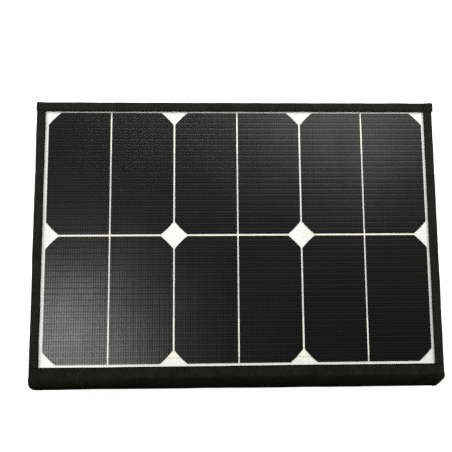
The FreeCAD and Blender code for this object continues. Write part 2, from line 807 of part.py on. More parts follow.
def front_fold():
    """A spine with round edges on its two axes, between a strip on each leaf."""
    edge, web, flap = "-laminate_low", "-free_edge_low", "-front_flap_y"
    upper = fold_strip(
        "front_fold_strip_upper",
        [
            rectangle(edge, "-strip_inner_low", "front_face_z", "front_tape_z"),
            rectangle(edge, "-strip_inner_low", "front_back_tape_z", "front_back_z"),
        ],
        [
            (edge, "front_back_tape_z"),
            (edge, "front_tape_z"),
            (flap, "front_tape_z"),
            (flap, "front_face_z"),
            (web, "front_face_z"),
            (web, "front_back_tape_z"),
        ],
    )
    lower = fold_strip(
        "front_fold_strip_lower",
        [
            rectangle(edge, "-middle_low", "middle_tape_z", "middle_face_z"),
            rectangle(edge, "-middle_low", "middle_back_z", "middle_back_tape_z"),
        ],
        [
            (edge, "middle_tape_z"),
            (flap, "middle_tape_z"),
            (flap, "middle_face_z"),
            (web, "middle_face_z"),
            (web, "middle_back_tape_z"),
            (edge, "middle_back_tape_z"),
        ],
    )
    spine = new_body("fold_spine")
    sides = new_sketch(spine, "YZ")
    draw_rectangle(sides, "-fold_outer_y", "-spine_inner_y", "lower_axis_z", "upper_axis_z")
    pad(spine, sides, "tape_outer_x", symmetric=True)
    for axis_z in ("lower_axis_z", "upper_axis_z"):
        bead = new_sketch(spine, "YZ")
        draw_circle(bead, ("-front_axis_y", axis_z), "bead_radius")
        pad(spine, bead, "tape_outer_x", symmetric=True)
    return [upper, lower, spine]


def rear_fold():
    """A strip with the round fold line on its edge, and the strip that turns over it."""
    edge, web = "laminate_top", "tape_outer_top"
    lower = fold_strip(
        "rear_fold_strip_lower",
        [
            rectangle("tape_inner_top", edge, "rear_face_z", "rear_tape_z"),
            rectangle("tape_inner_top", edge, "rear_back_tape_z", "rear_back_z"),
        ],
        [
            (edge, "rear_back_tape_z"),
            (web, "rear_back_tape_z"),
            (web, "rear_face_z"),
            ("rear_axis_y", "rear_face_z"),
            ("rear_axis_y", "rear_tape_z"),
            (edge, "rear_tape_z"),
        ],
    )
    bead = new_sketch(lower, "YZ")
    draw_circle(bead, ("rear_axis_y", "rear_axis_z"), "bead_radius")
    pad(lower, bead, "tape_outer_x", symmetric=True)
    upper = fold_strip(
        "rear_fold_strip_upper",
        [
            rectangle("middle_top", edge, "middle_tape_z", "middle_face_z"),
            rectangle("middle_top", edge, "middle_back_z", "middle_back_tape_z"),
        ],
        [
            (edge, "middle_tape_z"),
            ("rear_flap_y", "middle_tape_z"),
            ("rear_flap_y", "middle_face_z"),
            (web, "middle_face_z"),
            (web, "middle_back_tape_z"),
            (edge, "middle_back_tape_z"),
        ],
    )
    return [lower, upper]


# The pocket

def pocket_shell():
    """A flat panel, and a ring of fabric between it and the rear leaf, with the zip's opening."""
    panel = new_body("pocket_panel")
    sketch = new_sketch(panel, "XY")
    outline = ("-pocket_x", "pocket_x", "-pocket_low", "pocket_high")
    draw_rounded_rectangle(sketch, *outline, "pocket_corner")
    pad(panel, sketch, "pocket_fabric")

    gusset = new_body("pocket_gusset")
    ring = new_sketch(gusset, "XY", "pocket_fabric")
    draw_rounded_rectangle(ring, *outline, "pocket_corner")
    inner = ("-pocket_inner_x", "pocket_inner_x", "-pocket_inner_low", "pocket_inner_high")
    draw_rounded_rectangle(ring, *inner, "pocket_inner_corner")
    pad(gusset, ring, "gusset_height")
    opening = new_sketch(gusset, "XZ", "pocket_low")
    draw_rectangle(opening, "-zip_half", "zip_half", "zip_opening_low", "zip_opening_high")
    pocket(gusset, opening, "pocket_fabric")
    return [panel, gusset]


def zip_rows():
    """Tapes, coils and end stops. The coils are straight beads, held apart by the divider's gap."""
    tapes = new_body("zip_tapes")
    sketch = new_sketch(tapes, "XZ", "zip_tape_near")
    draw_rectangle(sketch, "-zip_half", "zip_half", "zip_opening_low", "zip_tape_inner_low")
    draw_rectangle(sketch, "-zip_half", "zip_half", "zip_tape_inner_high", "zip_opening_high")
    pad(tapes, sketch, "zip_tape_thickness", reverse=True)

    coils = new_body("zip_coils")
    rows = new_sketch(coils, "YZ")
    for level in ("coil_low_z", "coil_high_z"):
        draw_circle(rows, ("-zip_y", level), "coil_radius")
    pad(coils, rows, "stop_x", symmetric=True)

    stops = new_body("zip_stops")
    ends = new_sketch(stops, "XZ", "stop_near")
    draw_rectangle(ends, "-zip_half", "-stop_x", "zip_tape_inner_low", "zip_tape_inner_high")
    draw_rectangle(ends, "stop_x", "zip_half", "zip_tape_inner_low", "zip_tape_inner_high")
    pad(stops, ends, "coil_diameter", reverse=True)
    return [tapes, coils, stops]


def slider_block(name, y_near, y_far, z_low, z_high, length="dims.slider_length"):
    """A block of the slider; y is counted outwards from the zip's line, z from its middle."""
    box = DOC.addObject("Part::Box", name)
    box.setExpression("Length", length)
    box.setExpression("Width", "(%s) - (%s)" % (y_near, y_far))
    box.setExpression("Height", "(%s) - (%s)" % (z_high, z_low))
    box.setExpression("Placement.Base.x", "dims.slider_home - (%s) / 2" % length)
    box.setExpression("Placement.Base.y", "-dims.zip_y - (%s)" % y_near)
    box.setExpression("Placement.Base.z", "dims.zip_height + (%s)" % z_low)
    return box


def zip_slider():
    """Two plates joined by a divider that runs between the coils, and a bar on two lugs."""
    half = "dims.slider_half_z"
    pieces = [
        slider_block("slider_outer_plate", "dims.plate_near", "dims.throat_half", "-" + half, half),
        slider_block("slider_inner_plate", "-dims.throat_half", "-dims.plate_near", "-" + half, half),
        slider_block("slider_divider_post", "dims.throat_half", "-dims.throat_half",
                     "-dims.slider_divider / 2", "dims.slider_divider / 2", "dims.slider_post"),
    ]
    for name, low, high in (
        ("slider_lug_low", "-dims.lug_outer_z", "-dims.lug_inner_z"),
        ("slider_lug_high", "dims.lug_inner_z", "dims.lug_outer_z"),
    ):
        pieces.append(slider_block(name, "dims.lug_top", "dims.throat_half", low, high,
                                   "dims.lug_length"))
    bar = DOC.addObject("Part::Cylinder", "slider_bar")
    bind(bar, "Radius", "bar_radius")
    bind(bar, "Height", "bar_length")
    bind(bar, "Placement.Base.x", "slider_home")
    bind(bar, "Placement.Base.y", "-bar_y")
    bar.setExpression("Placement.Base.z", "dims.zip_height - dims.lug_outer_z")
    whole = DOC.addObject("Part::MultiFuse", "zip_slider")
    whole.Label = "zip_slider"
    whole.Shapes = pieces + [bar]
    whole.Refine = True
    return whole


def eye_sketch(body, radius):
    """A circle about the slider's bar, at the pull's lower side."""
    sketch = new_sketch(body, "XY", "pull_low_z")
    bind(sketch, "AttachmentOffset.Base.x", "slider_home")
    bind(sketch, "AttachmentOffset.Base.y", "-bar_y")
    draw_circle(sketch, ("0", "0"), radius)
    return sketch


def zip_pull():
    """A flat tab with an eye round the slider's bar, lying back along the zip."""
    body = new_body("zip_pull")
    tab = new_sketch(body, "XZ", "pull_face_y")
    bind(tab, "AttachmentOffset.Base.x", "slider_home")
    bind(tab, "AttachmentOffset.Base.y", "zip_height")
    draw_polygon(tab, [
        ("0", "-pull_neck_half"),
        ("0", "pull_neck_half"),
        ("-pull_neck_length", "pull_neck_half"),
        ("-pull_shoulder", "pull_half"),
        ("-pull_length", "pull_half"),
        ("-pull_length", "-pull_half"),
        ("-pull_shoulder", "-pull_half"),
        ("-pull_neck_length", "-pull_neck_half"),
    ])
    pad(body, tab, "pull_thickness")
    pad(body, eye_sketch(body, "pull_end_radius"), "pull_neck")
    pocket(body, eye_sketch(body, "pull_eye_radius"), "pull_neck", reverse=True)
    return body


# The regulator and its leads, in the pocket

def case_outline(sketch):
    draw_rounded_rectangle(sketch, "case_left", "case_right", "case_near", "case_far", "case_corner")


def case_cavity(sketch):
    sides = ("cavity_left", "cavity_right", "cavity_near", "cavity_far")
    draw_rounded_rectangle(sketch, *sides, "cavity_corner")


def case_half(label, level, thickness, cavity_level, cavity_depth):
    """One half of the case: hollow, with its share of the openings in the side walls."""
    body = new_body(label)
    outline = new_sketch(body, "XY", level)
    case_outline(outline)
    pad(body, outline, thickness)
    cavity = new_sketch(body, "XY", cavity_level)
    case_cavity(cavity)
    pocket(body, cavity, cavity_depth, reverse=True)
    usb = new_sketch(body, "YZ", "case_left")
    draw_rectangle(usb, "usb_near", "usb_far", "circuit_top", "usb_top")
    pocket(body, usb, "case_wall", reverse=True)
    socket = new_sketch(body, "XZ", "-case_near")
    draw_circle(socket, ("case_x", "dc_z"), "dc_radius")
    pocket(body, socket, "case_wall")
    return body


def regulator():
    lower = case_half("regulator_lower_case", "case_base", "case_split", "case_floor", "case_low_depth")
    outlet = new_sketch(lower, "YZ", "cavity_right")
    draw_circle(outlet, ("case_y", "cable_z"), "cable_radius")
    pocket(lower, outlet, "case_wall", reverse=True)
    inlet = new_sketch(lower, "XZ", "-case_far")
    draw_circle(inlet, ("0", "cable_z"), "cable_radius")
    pocket(lower, inlet, "case_wall", reverse=True)

    upper = case_half("regulator_upper_case", "case_split_z", "case_lid_height", "case_split_z",
                      "case_lid_depth")
    light = new_sketch(upper, "XY", "case_ceiling")
    draw_circle(light, ("lens_x", "case_y"), "lens_radius")
    pocket(upper, light, "case_wall", reverse=True)

    circuit = flat_plate("regulator_circuit_board", "circuit_left", "circuit_right", "circuit_near",
                         "circuit_far", "circuit_z", "circuit_thickness")

    usb = new_body("usb_socket")
    shell = new_sketch(usb, "YZ", "case_left")
    draw_rectangle(shell, "usb_near", "usb_far", "circuit_top", "usb_top")
    pad(usb, shell, "usb_depth")
    mouth = new_sketch(usb, "YZ", "case_left")
    draw_rectangle(mouth, "usb_mouth_near", "usb_mouth_far", "usb_mouth_low", "usb_mouth_high")
    pocket(usb, mouth, "usb_mouth_depth", reverse=True)

    dc = new_body("dc_socket")
    barrel = new_sketch(dc, "XZ", "-case_near")
    draw_circle(barrel, ("case_x", "dc_z"), "dc_radius")
    pad(dc, barrel, "dc_depth", reverse=True)
    bore = new_sketch(dc, "XZ", "-case_near")
    draw_circle(bore, ("case_x", "dc_z"), "dc_bore_radius")
    pocket(dc, bore, "dc_bore_depth")

    lens = new_body("indicator_lens")
    disc = new_sketch(lens, "XY", "case_ceiling")
    draw_circle(disc, ("lens_x", "case_y"), "lens_radius")
    pad(lens, disc, "case_wall")
    return [lower, upper, circuit, usb, dc, lens]


def pipe(label, plane, offset, path, profile_plane, profile_offset, profile_centre):
    """A round cable swept along line, arc, line: path is (start, bend, centre, turned, end).

    The bend turns clockwise in its sketch.
    """
    body = new_body(label)
    spine = new_sketch(body, plane, offset)
    start, bend, centre, turned, end = path
    middle, entry, leaving = vector(centre), vector(bend), vector(turned)
    circle = Part.Circle(middle, FreeCAD.Vector(0, 0, 1), (entry - middle).Length)
    angles = [math.atan2(p.y - middle.y, p.x - middle.x) for p in (leaving, entry)]
    first = spine.addGeometry(Part.LineSegment(vector(start), entry))
    second = spine.addGeometry(Part.ArcOfCircle(circle, *angles))
    third = spine.addGeometry(Part.LineSegment(leaving, vector(end)))
    begins = nearest_end(spine, second, first)
    pin_point(spine, first, 1, start)
    pin_point(spine, first, 2, bend)
    pin_point(spine, second, 3, centre)
    pin_point(spine, third, 2, end)
    spine.addConstraint(Sketcher.Constraint("Coincident", second, begins, first, 2))
    spine.addConstraint(Sketcher.Constraint("Tangent", second, 3 - begins, third, 1))
    profile = new_sketch(body, profile_plane, profile_offset)
    draw_circle(profile, profile_centre, "cable_radius")
    sweep = body.newObject("PartDesign::AdditivePipe", label + "_sweep")
    sweep.Profile = profile
    sweep.Spine = (spine, [])
    return body


def leads():
    """The lead from the rear leaf to the regulator, and the output cable with its plug."""
    lead = pipe(
        "panel_lead", "YZ", "0",
        (("lead_drop_y", "lead_top_z"), ("lead_drop_y", "lead_bend_z"), ("lead_bend_y", "lead_bend_z"),
         ("lead_bend_y", "cable_z"), ("lead_end_y", "cable_z")),
        "XY", "lead_top_z", ("0", "lead_drop_y"),
    )
    cable = pipe(
        "output_cable", "XY", "cable_z",
        (("cable_start_x", "case_y"), ("cable_turn_x", "case_y"), ("cable_turn_x", "cable_turn_y"),
         ("cable_turn_x", "cable_return_y"), ("plug_x", "cable_return_y")),
        "YZ", "cable_start_x", ("case_y", "cable_z"),
    )
    plug = new_body("cable_plug")
    grip = new_sketch(plug, "YZ", "plug_x")
    draw_circle(grip, ("cable_return_y", "cable_z"), "plug_radius")
    pad(plug, grip, "plug_length", reverse=True)
    tip = new_sketch(plug, "YZ", "plug_back_x")
    draw_circle(tip, ("cable_return_y", "cable_z"), "plug_tip_radius")
    pad(plug, tip, "plug_tip_length", reverse=True)
    return [lead, cable, plug]


def cuts_something(feature):
    return feature.Shape.Volume < feature.BaseFeature.Shape.Volume - 1e-3


def faults(parts):
    """Every object that failed to compute, and every sub-part without a sound shape."""
    found = []
    for thing in DOC.Objects:
        if "Invalid" in thing.State or "Error" in thing.State:
            found.append("%s: %s" % (thing.Label, thing.State))
        elif thing.TypeId == "PartDesign::Pocket" and not cuts_something(thing):
            found.append("%s cuts nothing" % thing.Label)
    for part in parts:
        if part.Shape.isNull() or not part.Shape.isValid() or not part.Shape.Solids:
            found.append("%s: no sound shape" % part.Label)
    labels = [part.Label for part in parts]
    if len(set(labels)) != len(labels):
        found.append("two sub-parts share a label")
    return found


def main():
    fill_sheet()
    parts = []
    for leaf in LEAVES:
        parts += build_leaf(leaf)
    front_tape = edge_tape(
        "front_top_edge_tape", "", "tape_inner_top", "laminate_top", "tape_outer_top", "top_tape_x"
    )
    place_in_leaf(front_tape, "front")
    rear_tape = edge_tape(
        "rear_free_edge_tape", "-", "strip_inner_low", "laminate_low", "free_edge_low", "top_tape_x"
    )
    place_in_leaf(rear_tape, "rear")
    parts += [front_tape, rear_tape]
    others = front_fold() + rear_fold() + pocket_shell() + zip_rows()
    others += [zip_slider(), zip_pull()] + regulator() + leads()
    for part in others:
        place(part)
    parts += others
    DOC.recompute()

    problems = faults(parts)
    if problems:
        raise RuntimeError("; ".join(problems))
    os.makedirs("parts", exist_ok=True)
    for part in parts:
        part.Shape.exportStep(os.path.join("parts", part.Label + ".step"))
    print("%d sub-parts written" % len(parts))


main()
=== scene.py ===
"""Looks of the folding solar panel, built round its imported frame.

The hard parts of the frame keep their sizes and places and get finished materials. Everything
soft is modelled here: the binding tapes, the fabric round both folds, the leaf covers, the pocket
and its zip, and so are the embossed front sheets. Lengths are metres, and MM is one millimetre.
"""

import json
import math
import random

import bmesh
import bpy
from mathutils import Matrix, Vector, noise


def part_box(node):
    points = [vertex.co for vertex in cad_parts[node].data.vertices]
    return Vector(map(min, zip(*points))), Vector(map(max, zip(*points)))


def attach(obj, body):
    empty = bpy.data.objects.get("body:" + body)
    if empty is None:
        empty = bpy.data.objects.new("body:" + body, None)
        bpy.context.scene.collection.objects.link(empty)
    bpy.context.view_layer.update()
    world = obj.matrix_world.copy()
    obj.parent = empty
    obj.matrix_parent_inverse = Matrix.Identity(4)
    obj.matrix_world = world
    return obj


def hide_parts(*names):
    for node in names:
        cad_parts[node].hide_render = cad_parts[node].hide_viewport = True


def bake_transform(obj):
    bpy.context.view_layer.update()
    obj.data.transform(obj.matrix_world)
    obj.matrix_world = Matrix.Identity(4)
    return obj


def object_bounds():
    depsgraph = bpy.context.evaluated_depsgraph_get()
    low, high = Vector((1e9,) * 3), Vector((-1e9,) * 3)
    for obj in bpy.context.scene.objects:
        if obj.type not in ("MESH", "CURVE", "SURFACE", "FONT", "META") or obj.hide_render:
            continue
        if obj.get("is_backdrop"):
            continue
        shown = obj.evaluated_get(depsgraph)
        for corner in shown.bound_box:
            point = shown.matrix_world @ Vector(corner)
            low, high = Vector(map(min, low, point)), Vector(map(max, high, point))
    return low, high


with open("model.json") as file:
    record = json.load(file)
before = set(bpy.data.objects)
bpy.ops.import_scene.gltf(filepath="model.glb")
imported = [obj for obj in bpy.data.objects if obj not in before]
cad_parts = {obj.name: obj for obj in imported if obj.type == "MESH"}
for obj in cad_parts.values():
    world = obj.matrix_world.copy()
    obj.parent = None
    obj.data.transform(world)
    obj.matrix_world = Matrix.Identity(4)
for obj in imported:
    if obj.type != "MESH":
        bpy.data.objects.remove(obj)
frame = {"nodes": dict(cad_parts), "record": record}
cad_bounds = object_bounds()

MM = 0.001
X, Y, Z = 0, 1, 2
LEAVES = ("front", "middle", "rear")
LEAF_BODY = {leaf: leaf + "_leaf" for leaf in LEAVES}
FACE_UP = {"front": 1, "middle": -1, "rear": 1}

# TAPE_ROUND is the radius of a tape's folded edge and TAPE_EASE is the slack inside it, by which the
# side tapes and the front's top tape stand out past their CAD solids. TAPE_DRIFT then shifts the side
# tapes and the front fold along x. TAPE_STEP is about how far apart a tape's rings are.
TAPE_THICKNESS = 0.7 * MM
TAPE_ROUND = 1.4 * MM
TAPE_EASE = 0.7 * MM
TAPE_DRIFT = -0.4 * MM
TAPE_STEP = 1.5 * MM
STITCH_PITCH = 3.0 * MM
STITCH_LENGTH = 2.1 * MM
STITCH_INSET = 1.9 * MM
THREAD_RADIUS = 0.17 * MM

EMBOSS_X = 2.33 * MM
EMBOSS_Y = 2.85 * MM
EMBOSS_DEPTH = 0.27 * MM

SHARP_ANGLE = math.radians(50)

MATERIALS = {}


# ---- small helpers


def low(node):
    """Lowest corner of a CAD node."""
    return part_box(node)[0]


def high(node):
    """Highest corner of a CAD node."""
    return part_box(node)[1]


def middle(node):
    """Centre of a CAD node's box."""
    return (low(node) + high(node)) / 2


def half_size(node, axis):
    """Half of a CAD node's size along an axis."""
    return (high(node)[axis] - low(node)[axis]) / 2


def side_tape_inner_x(leaf):
    """Distance from a leaf's middle to the inner edges of its side tapes."""
    return min(abs(vertex.co.x) for vertex in frame["nodes"][leaf + "_side_tapes"].data.vertices)


def mix(a, b, share):
    """The value a given share of the way from a to b."""
    return a + (b - a) * share


def smooth_step(edge_0, edge_1, value):
    """0 below edge_0, 1 above edge_1 and an S curve between them."""
    share = min(1.0, max(0.0, (value - edge_0) / (edge_1 - edge_0)))
    return share * share * (3 - 2 * share)


def ripple(x, y, length, seed):
    """Smooth random value between about -1 and 1 that changes over the given length."""
    return noise.noise(Vector((x / length, y / length, seed * 7.31)))


def steps(start, end, count):
    """count + 1 evenly spaced values from start to end."""
    return [mix(start, end, i / count) for i in range(count + 1)]


def add_object(name, data):
    """A new object in the scene."""
    made = bpy.data.objects.new(name, data)
    bpy.context.scene.collection.objects.link(made)
    return made


# ---- node material helpers


class Paint:
    """A node material under construction. Its methods add nodes, and most return an output socket.

    place is the position of the shaded point in millimetres, in the mesh's own space or its UVs.
    """

    def __init__(self, name, source="Object"):
        self.material = MATERIALS[name] = bpy.data.materials.new(name)
        self.material.use_nodes = True
        self.tree = self.material.node_tree
        self.tree.nodes.clear()
        where = self.node("TexCoord").outputs[source]
        scale = 1.0 if source == "UV" else 1000.0
        self.place = self.node("VectorMath", {0: where, "Scale": scale}, operation="SCALE").outputs[0]

    def node(self, kind, inputs=None, **settings):
        """A node with its settings, whose inputs are values or sockets."""
        made = self.tree.nodes.new("ShaderNode" + kind)
        for key, value in settings.items():
            setattr(made, key, value)
        for key, value in (inputs or {}).items():
            self.feed(made.inputs[key], value)
        return made

    def feed(self, socket, value):
        """Link a socket into an input, or set its value."""
        if isinstance(value, bpy.types.NodeSocket):
            self.tree.links.new(value, socket)
        else:
            socket.default_value = value

    def math(self, operation, a, b=0.0, clamp=False):
        """One arithmetic step."""
        made = self.node("Math", {0: a, 1: b}, operation=operation, use_clamp=clamp)
        return made.outputs[0]

    def total(self, *terms):
        """Sum of (value, weight) terms."""
        parts = [self.math("MULTIPLY", value, weight) for value, weight in terms]
        made = parts[0]
        for part in parts[1:]:
            made = self.math("ADD", made, part)
        return made

    def cloud(self, size, detail=3.0, stretch=(1, 1, 1)):
        """Fractal noise between 0 and 1 whose blobs are about size millimetres."""
        spread = self.node("VectorMath", {0: self.place, 1: stretch}, operation="MULTIPLY").outputs[0]
        made = self.node("TexNoise", {"Vector": spread, "Scale": 1 / size, "Detail": detail})
        return made.outputs["Fac"]

    def level(self, value, low_in, high_in, low_out=0.0, high_out=1.0):
        """A value moved from one range to another and held inside it."""
        inputs = {"Value": value, 1: low_in, 2: high_in, 3: low_out, 4: high_out}
        return self.node("MapRange", inputs, clamp=True).outputs[0]

    def blend(self, share, a, b):
        """A colour between a and b."""
        made = self.node("Mix", data_type="RGBA")
        self.feed(made.inputs[0], share)
        for key, value in ((6, a), (7, b)):
            is_socket = isinstance(value, bpy.types.NodeSocket)
            self.feed(made.inputs[key], value if is_socket else (*value, 1.0))
        return made.outputs[2]

    def bump(self, height, distance):
        """A shading normal bent by a height in 0 to 1 that stands for distance metres."""
        inputs = {"Height": height, "Distance": distance, "Strength": 1.0}
        return self.node("Bump", inputs).outputs[0]

    def finish(self, shader):
        """Connect the shader to the material's output."""
        output = self.node("OutputMaterial")
        self.tree.links.new(shader, output.inputs["Surface"])

    def principled(self, **inputs):
        """A principled surface; underscores in the names stand for spaces."""
        values = {key.replace("_", " "): value for key, value in inputs.items()}
        colour = values.get("Base Color")
        if isinstance(colour, tuple):
            values["Base Color"] = (*colour, 1.0)
        self.finish(self.node("BsdfPrincipled", values).outputs[0])


def woven(name, dark, light, pitch, sheen=0.03, shine=0.08, blotch=9.0, relief=0.09, edge_shadow_width=0.0):
    """Plain-woven synthetic fabric with warp and weft threads a pitch (millimetres) apart.

    The last argument is the width in millimetres of a darker strip of painted shadow along the fabric's
    first edge.
    """
    paint = Paint(name, "UV")
    parts = paint.node("SeparateXYZ", {0: paint.place})
    turn = math.pi / pitch
    warp = paint.math("SINE", paint.math("MULTIPLY", parts.outputs[0], turn))
    weft = paint.math("SINE", paint.math("MULTIPLY", parts.outputs[1], turn))
    over_under = paint.math("MULTIPLY", warp, weft)
    threads = paint.level(over_under, -1.0, 1.0)
    slubs = paint.cloud(1.6, 4.0, (1.0, 0.35, 1.0))
    patches = paint.cloud(blotch, 3.0)
    height = paint.total((threads, 0.7), (slubs, 0.5))
    shade = paint.total((slubs, 0.55), (patches, 0.45), (threads, 0.12))
    colour = paint.blend(paint.level(shade, 0.42, 0.68), dark, light)
    # Painted shadow: the fabric's colour darkens along its first edge.
    if edge_shadow_width:
        edge_shadow_colour = tuple(channel * 0.3 for channel in dark)
        colour = paint.blend(paint.level(parts.outputs[1], 0.4 * edge_shadow_width, edge_shadow_width), edge_shadow_colour, colour)
    paint.principled(
        Base_Color=colour,
        Roughness=paint.level(slubs, 0.3, 0.7, 0.78, 0.95),
        Specular_IOR_Level=shine,
        Sheen_Weight=sheen,
        Sheen_Roughness=0.45,
        Sheen_Tint=(0.9, 0.92, 0.8, 1.0),
        Normal=paint.bump(height, relief * MM),
    )


def moulded(name, colour, roughness=0.45, grain=0.6):
    """Moulded plastic with a fine spark-eroded grain and slight wear."""
    paint = Paint(name)
    fine = paint.cloud(grain, 5.0)
    wide = paint.cloud(14.0, 2.0)
    worn = tuple(min(1.0, channel * 1.6 + 0.01) for channel in colour)
    paint.principled(
        Base_Color=paint.blend(paint.level(wide, 0.35, 0.7, 0.0, 0.6), colour, worn),
        Roughness=paint.level(fine, 0.3, 0.7, roughness - 0.06, roughness + 0.1),
        Normal=paint.bump(fine, 0.02 * MM),
    )


def metal(name, colour, roughness=0.3, brushed=(1, 1, 1)):
    """Plated metal with fine scratches and a patchy polish."""
    paint = Paint(name)
    scratches = paint.cloud(0.5, 6.0, brushed)
    patches = paint.cloud(4.0, 2.0)
    dull = tuple(channel * 0.72 for channel in colour)
    paint.principled(
        Base_Color=paint.blend(patches, dull, colour),
        Metallic=1.0,
        Roughness=paint.level(scratches, 0.3, 0.7, roughness - 0.08, roughness + 0.15),
        Normal=paint.bump(scratches, 0.01 * MM),
    )


def painted_grid_highlights(paint):
    """Painted highlight lines of the grid pressed into the front sheets, as a brightness from about -1 to
    1.

    Its rows are the stronger ones at the far right of a leaf and its columns at the near left, as the lamps
    would light them.
    """

    def wave(coordinate, pitch):
        return paint.math("COSINE", paint.math("MULTIPLY", coordinate, 2 * math.pi * MM / pitch))

    parts = paint.node("SeparateXYZ", {0: paint.place})
    across = wave(parts.outputs[0], EMBOSS_X)
    down = wave(parts.outputs[1], EMBOSS_Y)
    every_second = wave(parts.outputs[1], 2 * EMBOSS_Y)
    slant = paint.total((parts.outputs[0], 0.6), (parts.outputs[1], 1.0))
    lean = paint.level(slant, -200.0, 10.0, 0.66, 0.22)
    lean = paint.math("ADD", lean, paint.level(paint.cloud(60.0, 2.0), 0.35, 0.65, -0.1, 0.1))
    grid = paint.total((across, lean), (down, paint.math("SUBTRACT", 0.85, lean)), (every_second, 0.18))
    uneven = paint.level(paint.cloud(3.2, 3.0), 0.3, 0.7, 0.6, 1.3)
    return paint.math("MULTIPLY", grid, uneven)


def cell_silicon(name):
    """Black monocrystalline wafer with faint cloudy patches under the front sheet, its colour lit by the
    grid's painted highlight lines.
    """
    paint = Paint(name)
    fine = paint.cloud(1.2, 4.0)
    wide = paint.cloud(55.0, 3.0)
    shade = paint.total((fine, 0.4), (wide, 0.6))
    cloudy = paint.level(shade, 0.3, 0.7)
    black = paint.blend(cloudy, (0.0046, 0.0051, 0.0049), (0.0062, 0.0066, 0.0064))
    # Painted light: the grid's highlight lines lighten and darken the wafer's colour.
    grid_highlight_gain = paint.math("ADD", paint.math("MULTIPLY", painted_grid_highlights(paint), 0.75), 1.0)
    lit = paint.node("VectorMath", {0: black, "Scale": grid_highlight_gain}, operation="SCALE").outputs[0]
    paint.principled(
        Base_Color=lit,
        Roughness=paint.level(fine, 0.3, 0.7, 0.5, 0.62),
        Specular_IOR_Level=0.05,
        Normal=paint.bump(fine, 0.01 * MM),
    )


def matt_film(paint, colour):
    """The dull surface that the thin plastic films share."""
    fine = paint.cloud(0.9, 4.0)
    paint.principled(
        Base_Color=colour,
        Roughness=paint.level(fine, 0.3, 0.7, 0.52, 0.68),
        Specular_IOR_Level=0.2,
        Normal=paint.bump(fine, 0.012 * MM),
    )


def insulation_film(name):
    """Cream insulation strip with slight staining."""
    paint = Paint(name)
    stains = paint.level(paint.cloud(12.0, 3.0), 0.35, 0.7)
    matt_film(paint, paint.blend(stains, (0.98, 0.97, 0.84), (0.95, 0.93, 0.79)))


def backsheet(name):
    """White backsheet, faintly yellowed, with painted shade that makes it a little greyer near the bound
    edges of the leaf.
    """
    paint = Paint(name)
    parts = paint.node("SeparateXYZ", {0: paint.place})
    yellowed = paint.level(paint.cloud(40.0, 3.0), 0.35, 0.7)
    half_x = half_size("front_backsheet", X) / MM
    half_y = half_size("front_backsheet", Y) / MM
    # Painted shade: the colour greys towards the leaf's bound edges.
    aside = paint.level(paint.math("ABSOLUTE", parts.outputs[0]), half_x - 24, half_x - 8)
    ahead = paint.level(paint.math("ABSOLUTE", parts.outputs[1]), half_y - 20, half_y - 8)
    rim = paint.math("MAXIMUM", aside, ahead)
    field = paint.blend(yellowed, (0.94, 0.94, 0.925), (0.90, 0.90, 0.88))
    matt_film(paint, paint.blend(rim, field, (0.86, 0.855, 0.83)))


def clear_film(name):
    """Clear plastic front sheet: light goes straight through and its outer face has a dull shine."""
    paint = Paint(name)
    smudges = paint.cloud(38.0, 4.0)
    grit = paint.cloud(0.8, 3.0)
    # Painted reflection: the grid's highlight pattern also sets how strongly the outer face shines.
    weave = paint.math("ADD", paint.math("MULTIPLY", painted_grid_highlights(paint), 0.6), 1.0)
    shine = paint.node("Fresnel", {"IOR": 1.5}).outputs[0]
    outside = paint.math("SUBTRACT", 1.0, paint.node("NewGeometry").outputs["Backfacing"])
    share = paint.math("MULTIPLY", shine, outside)
    share = paint.math("MULTIPLY", share, weave)
    share = paint.math("MULTIPLY", share, paint.level(smudges, 0.3, 0.7, 0.85, 1.15), True)
    gloss = paint.node(
        "BsdfAnisotropic",
        {"Color": (1, 1, 1, 1), "Roughness": paint.level(grit, 0.3, 0.7, 0.275, 0.32)},
    ).outputs[0]
    clear = paint.node("BsdfTransparent", {"Color": (0.985, 0.985, 0.975, 1)}).outputs[0]
    paint.finish(paint.node("MixShader", {0: share, 1: clear, 2: gloss}).outputs[0])


def board(name):
    """Glass-fibre stiffener board with a faint fibre grain."""
    paint = Paint(name)
    fibres = paint.cloud(1.5, 5.0, (0.15, 1.0, 1.0))
    paint.principled(
        Base_Color=paint.blend(fibres, (0.05, 0.05, 0.045), (0.09, 0.085, 0.07)),
        Roughness=0.7,
        Normal=paint.bump(fibres, 0.02 * MM),
    )


def indicator_lens(name):
    """Translucent green indicator lens, slightly hazy."""
    paint = Paint(name)
    haze = paint.cloud(1.0, 3.0)
    paint.principled(
        Base_Color=paint.blend(haze, (0.02, 0.35, 0.06), (0.05, 0.55, 0.12)),
        Roughness=0.18,
        Transmission_Weight=0.35,
    )


def thread(name, colour):
    """Sewing thread with a twist that catches the light."""
    paint = Paint(name)
    twist = paint.cloud(0.25, 3.0)
    light = tuple(channel * 1.8 for channel in colour)
    paint.principled(
        Base_Color=paint.blend(twist, colour, light),
        Roughness=0.8,
        Specular_IOR_Level=0.1,
        Normal=paint.bump(twist, 0.05 * MM),
    )


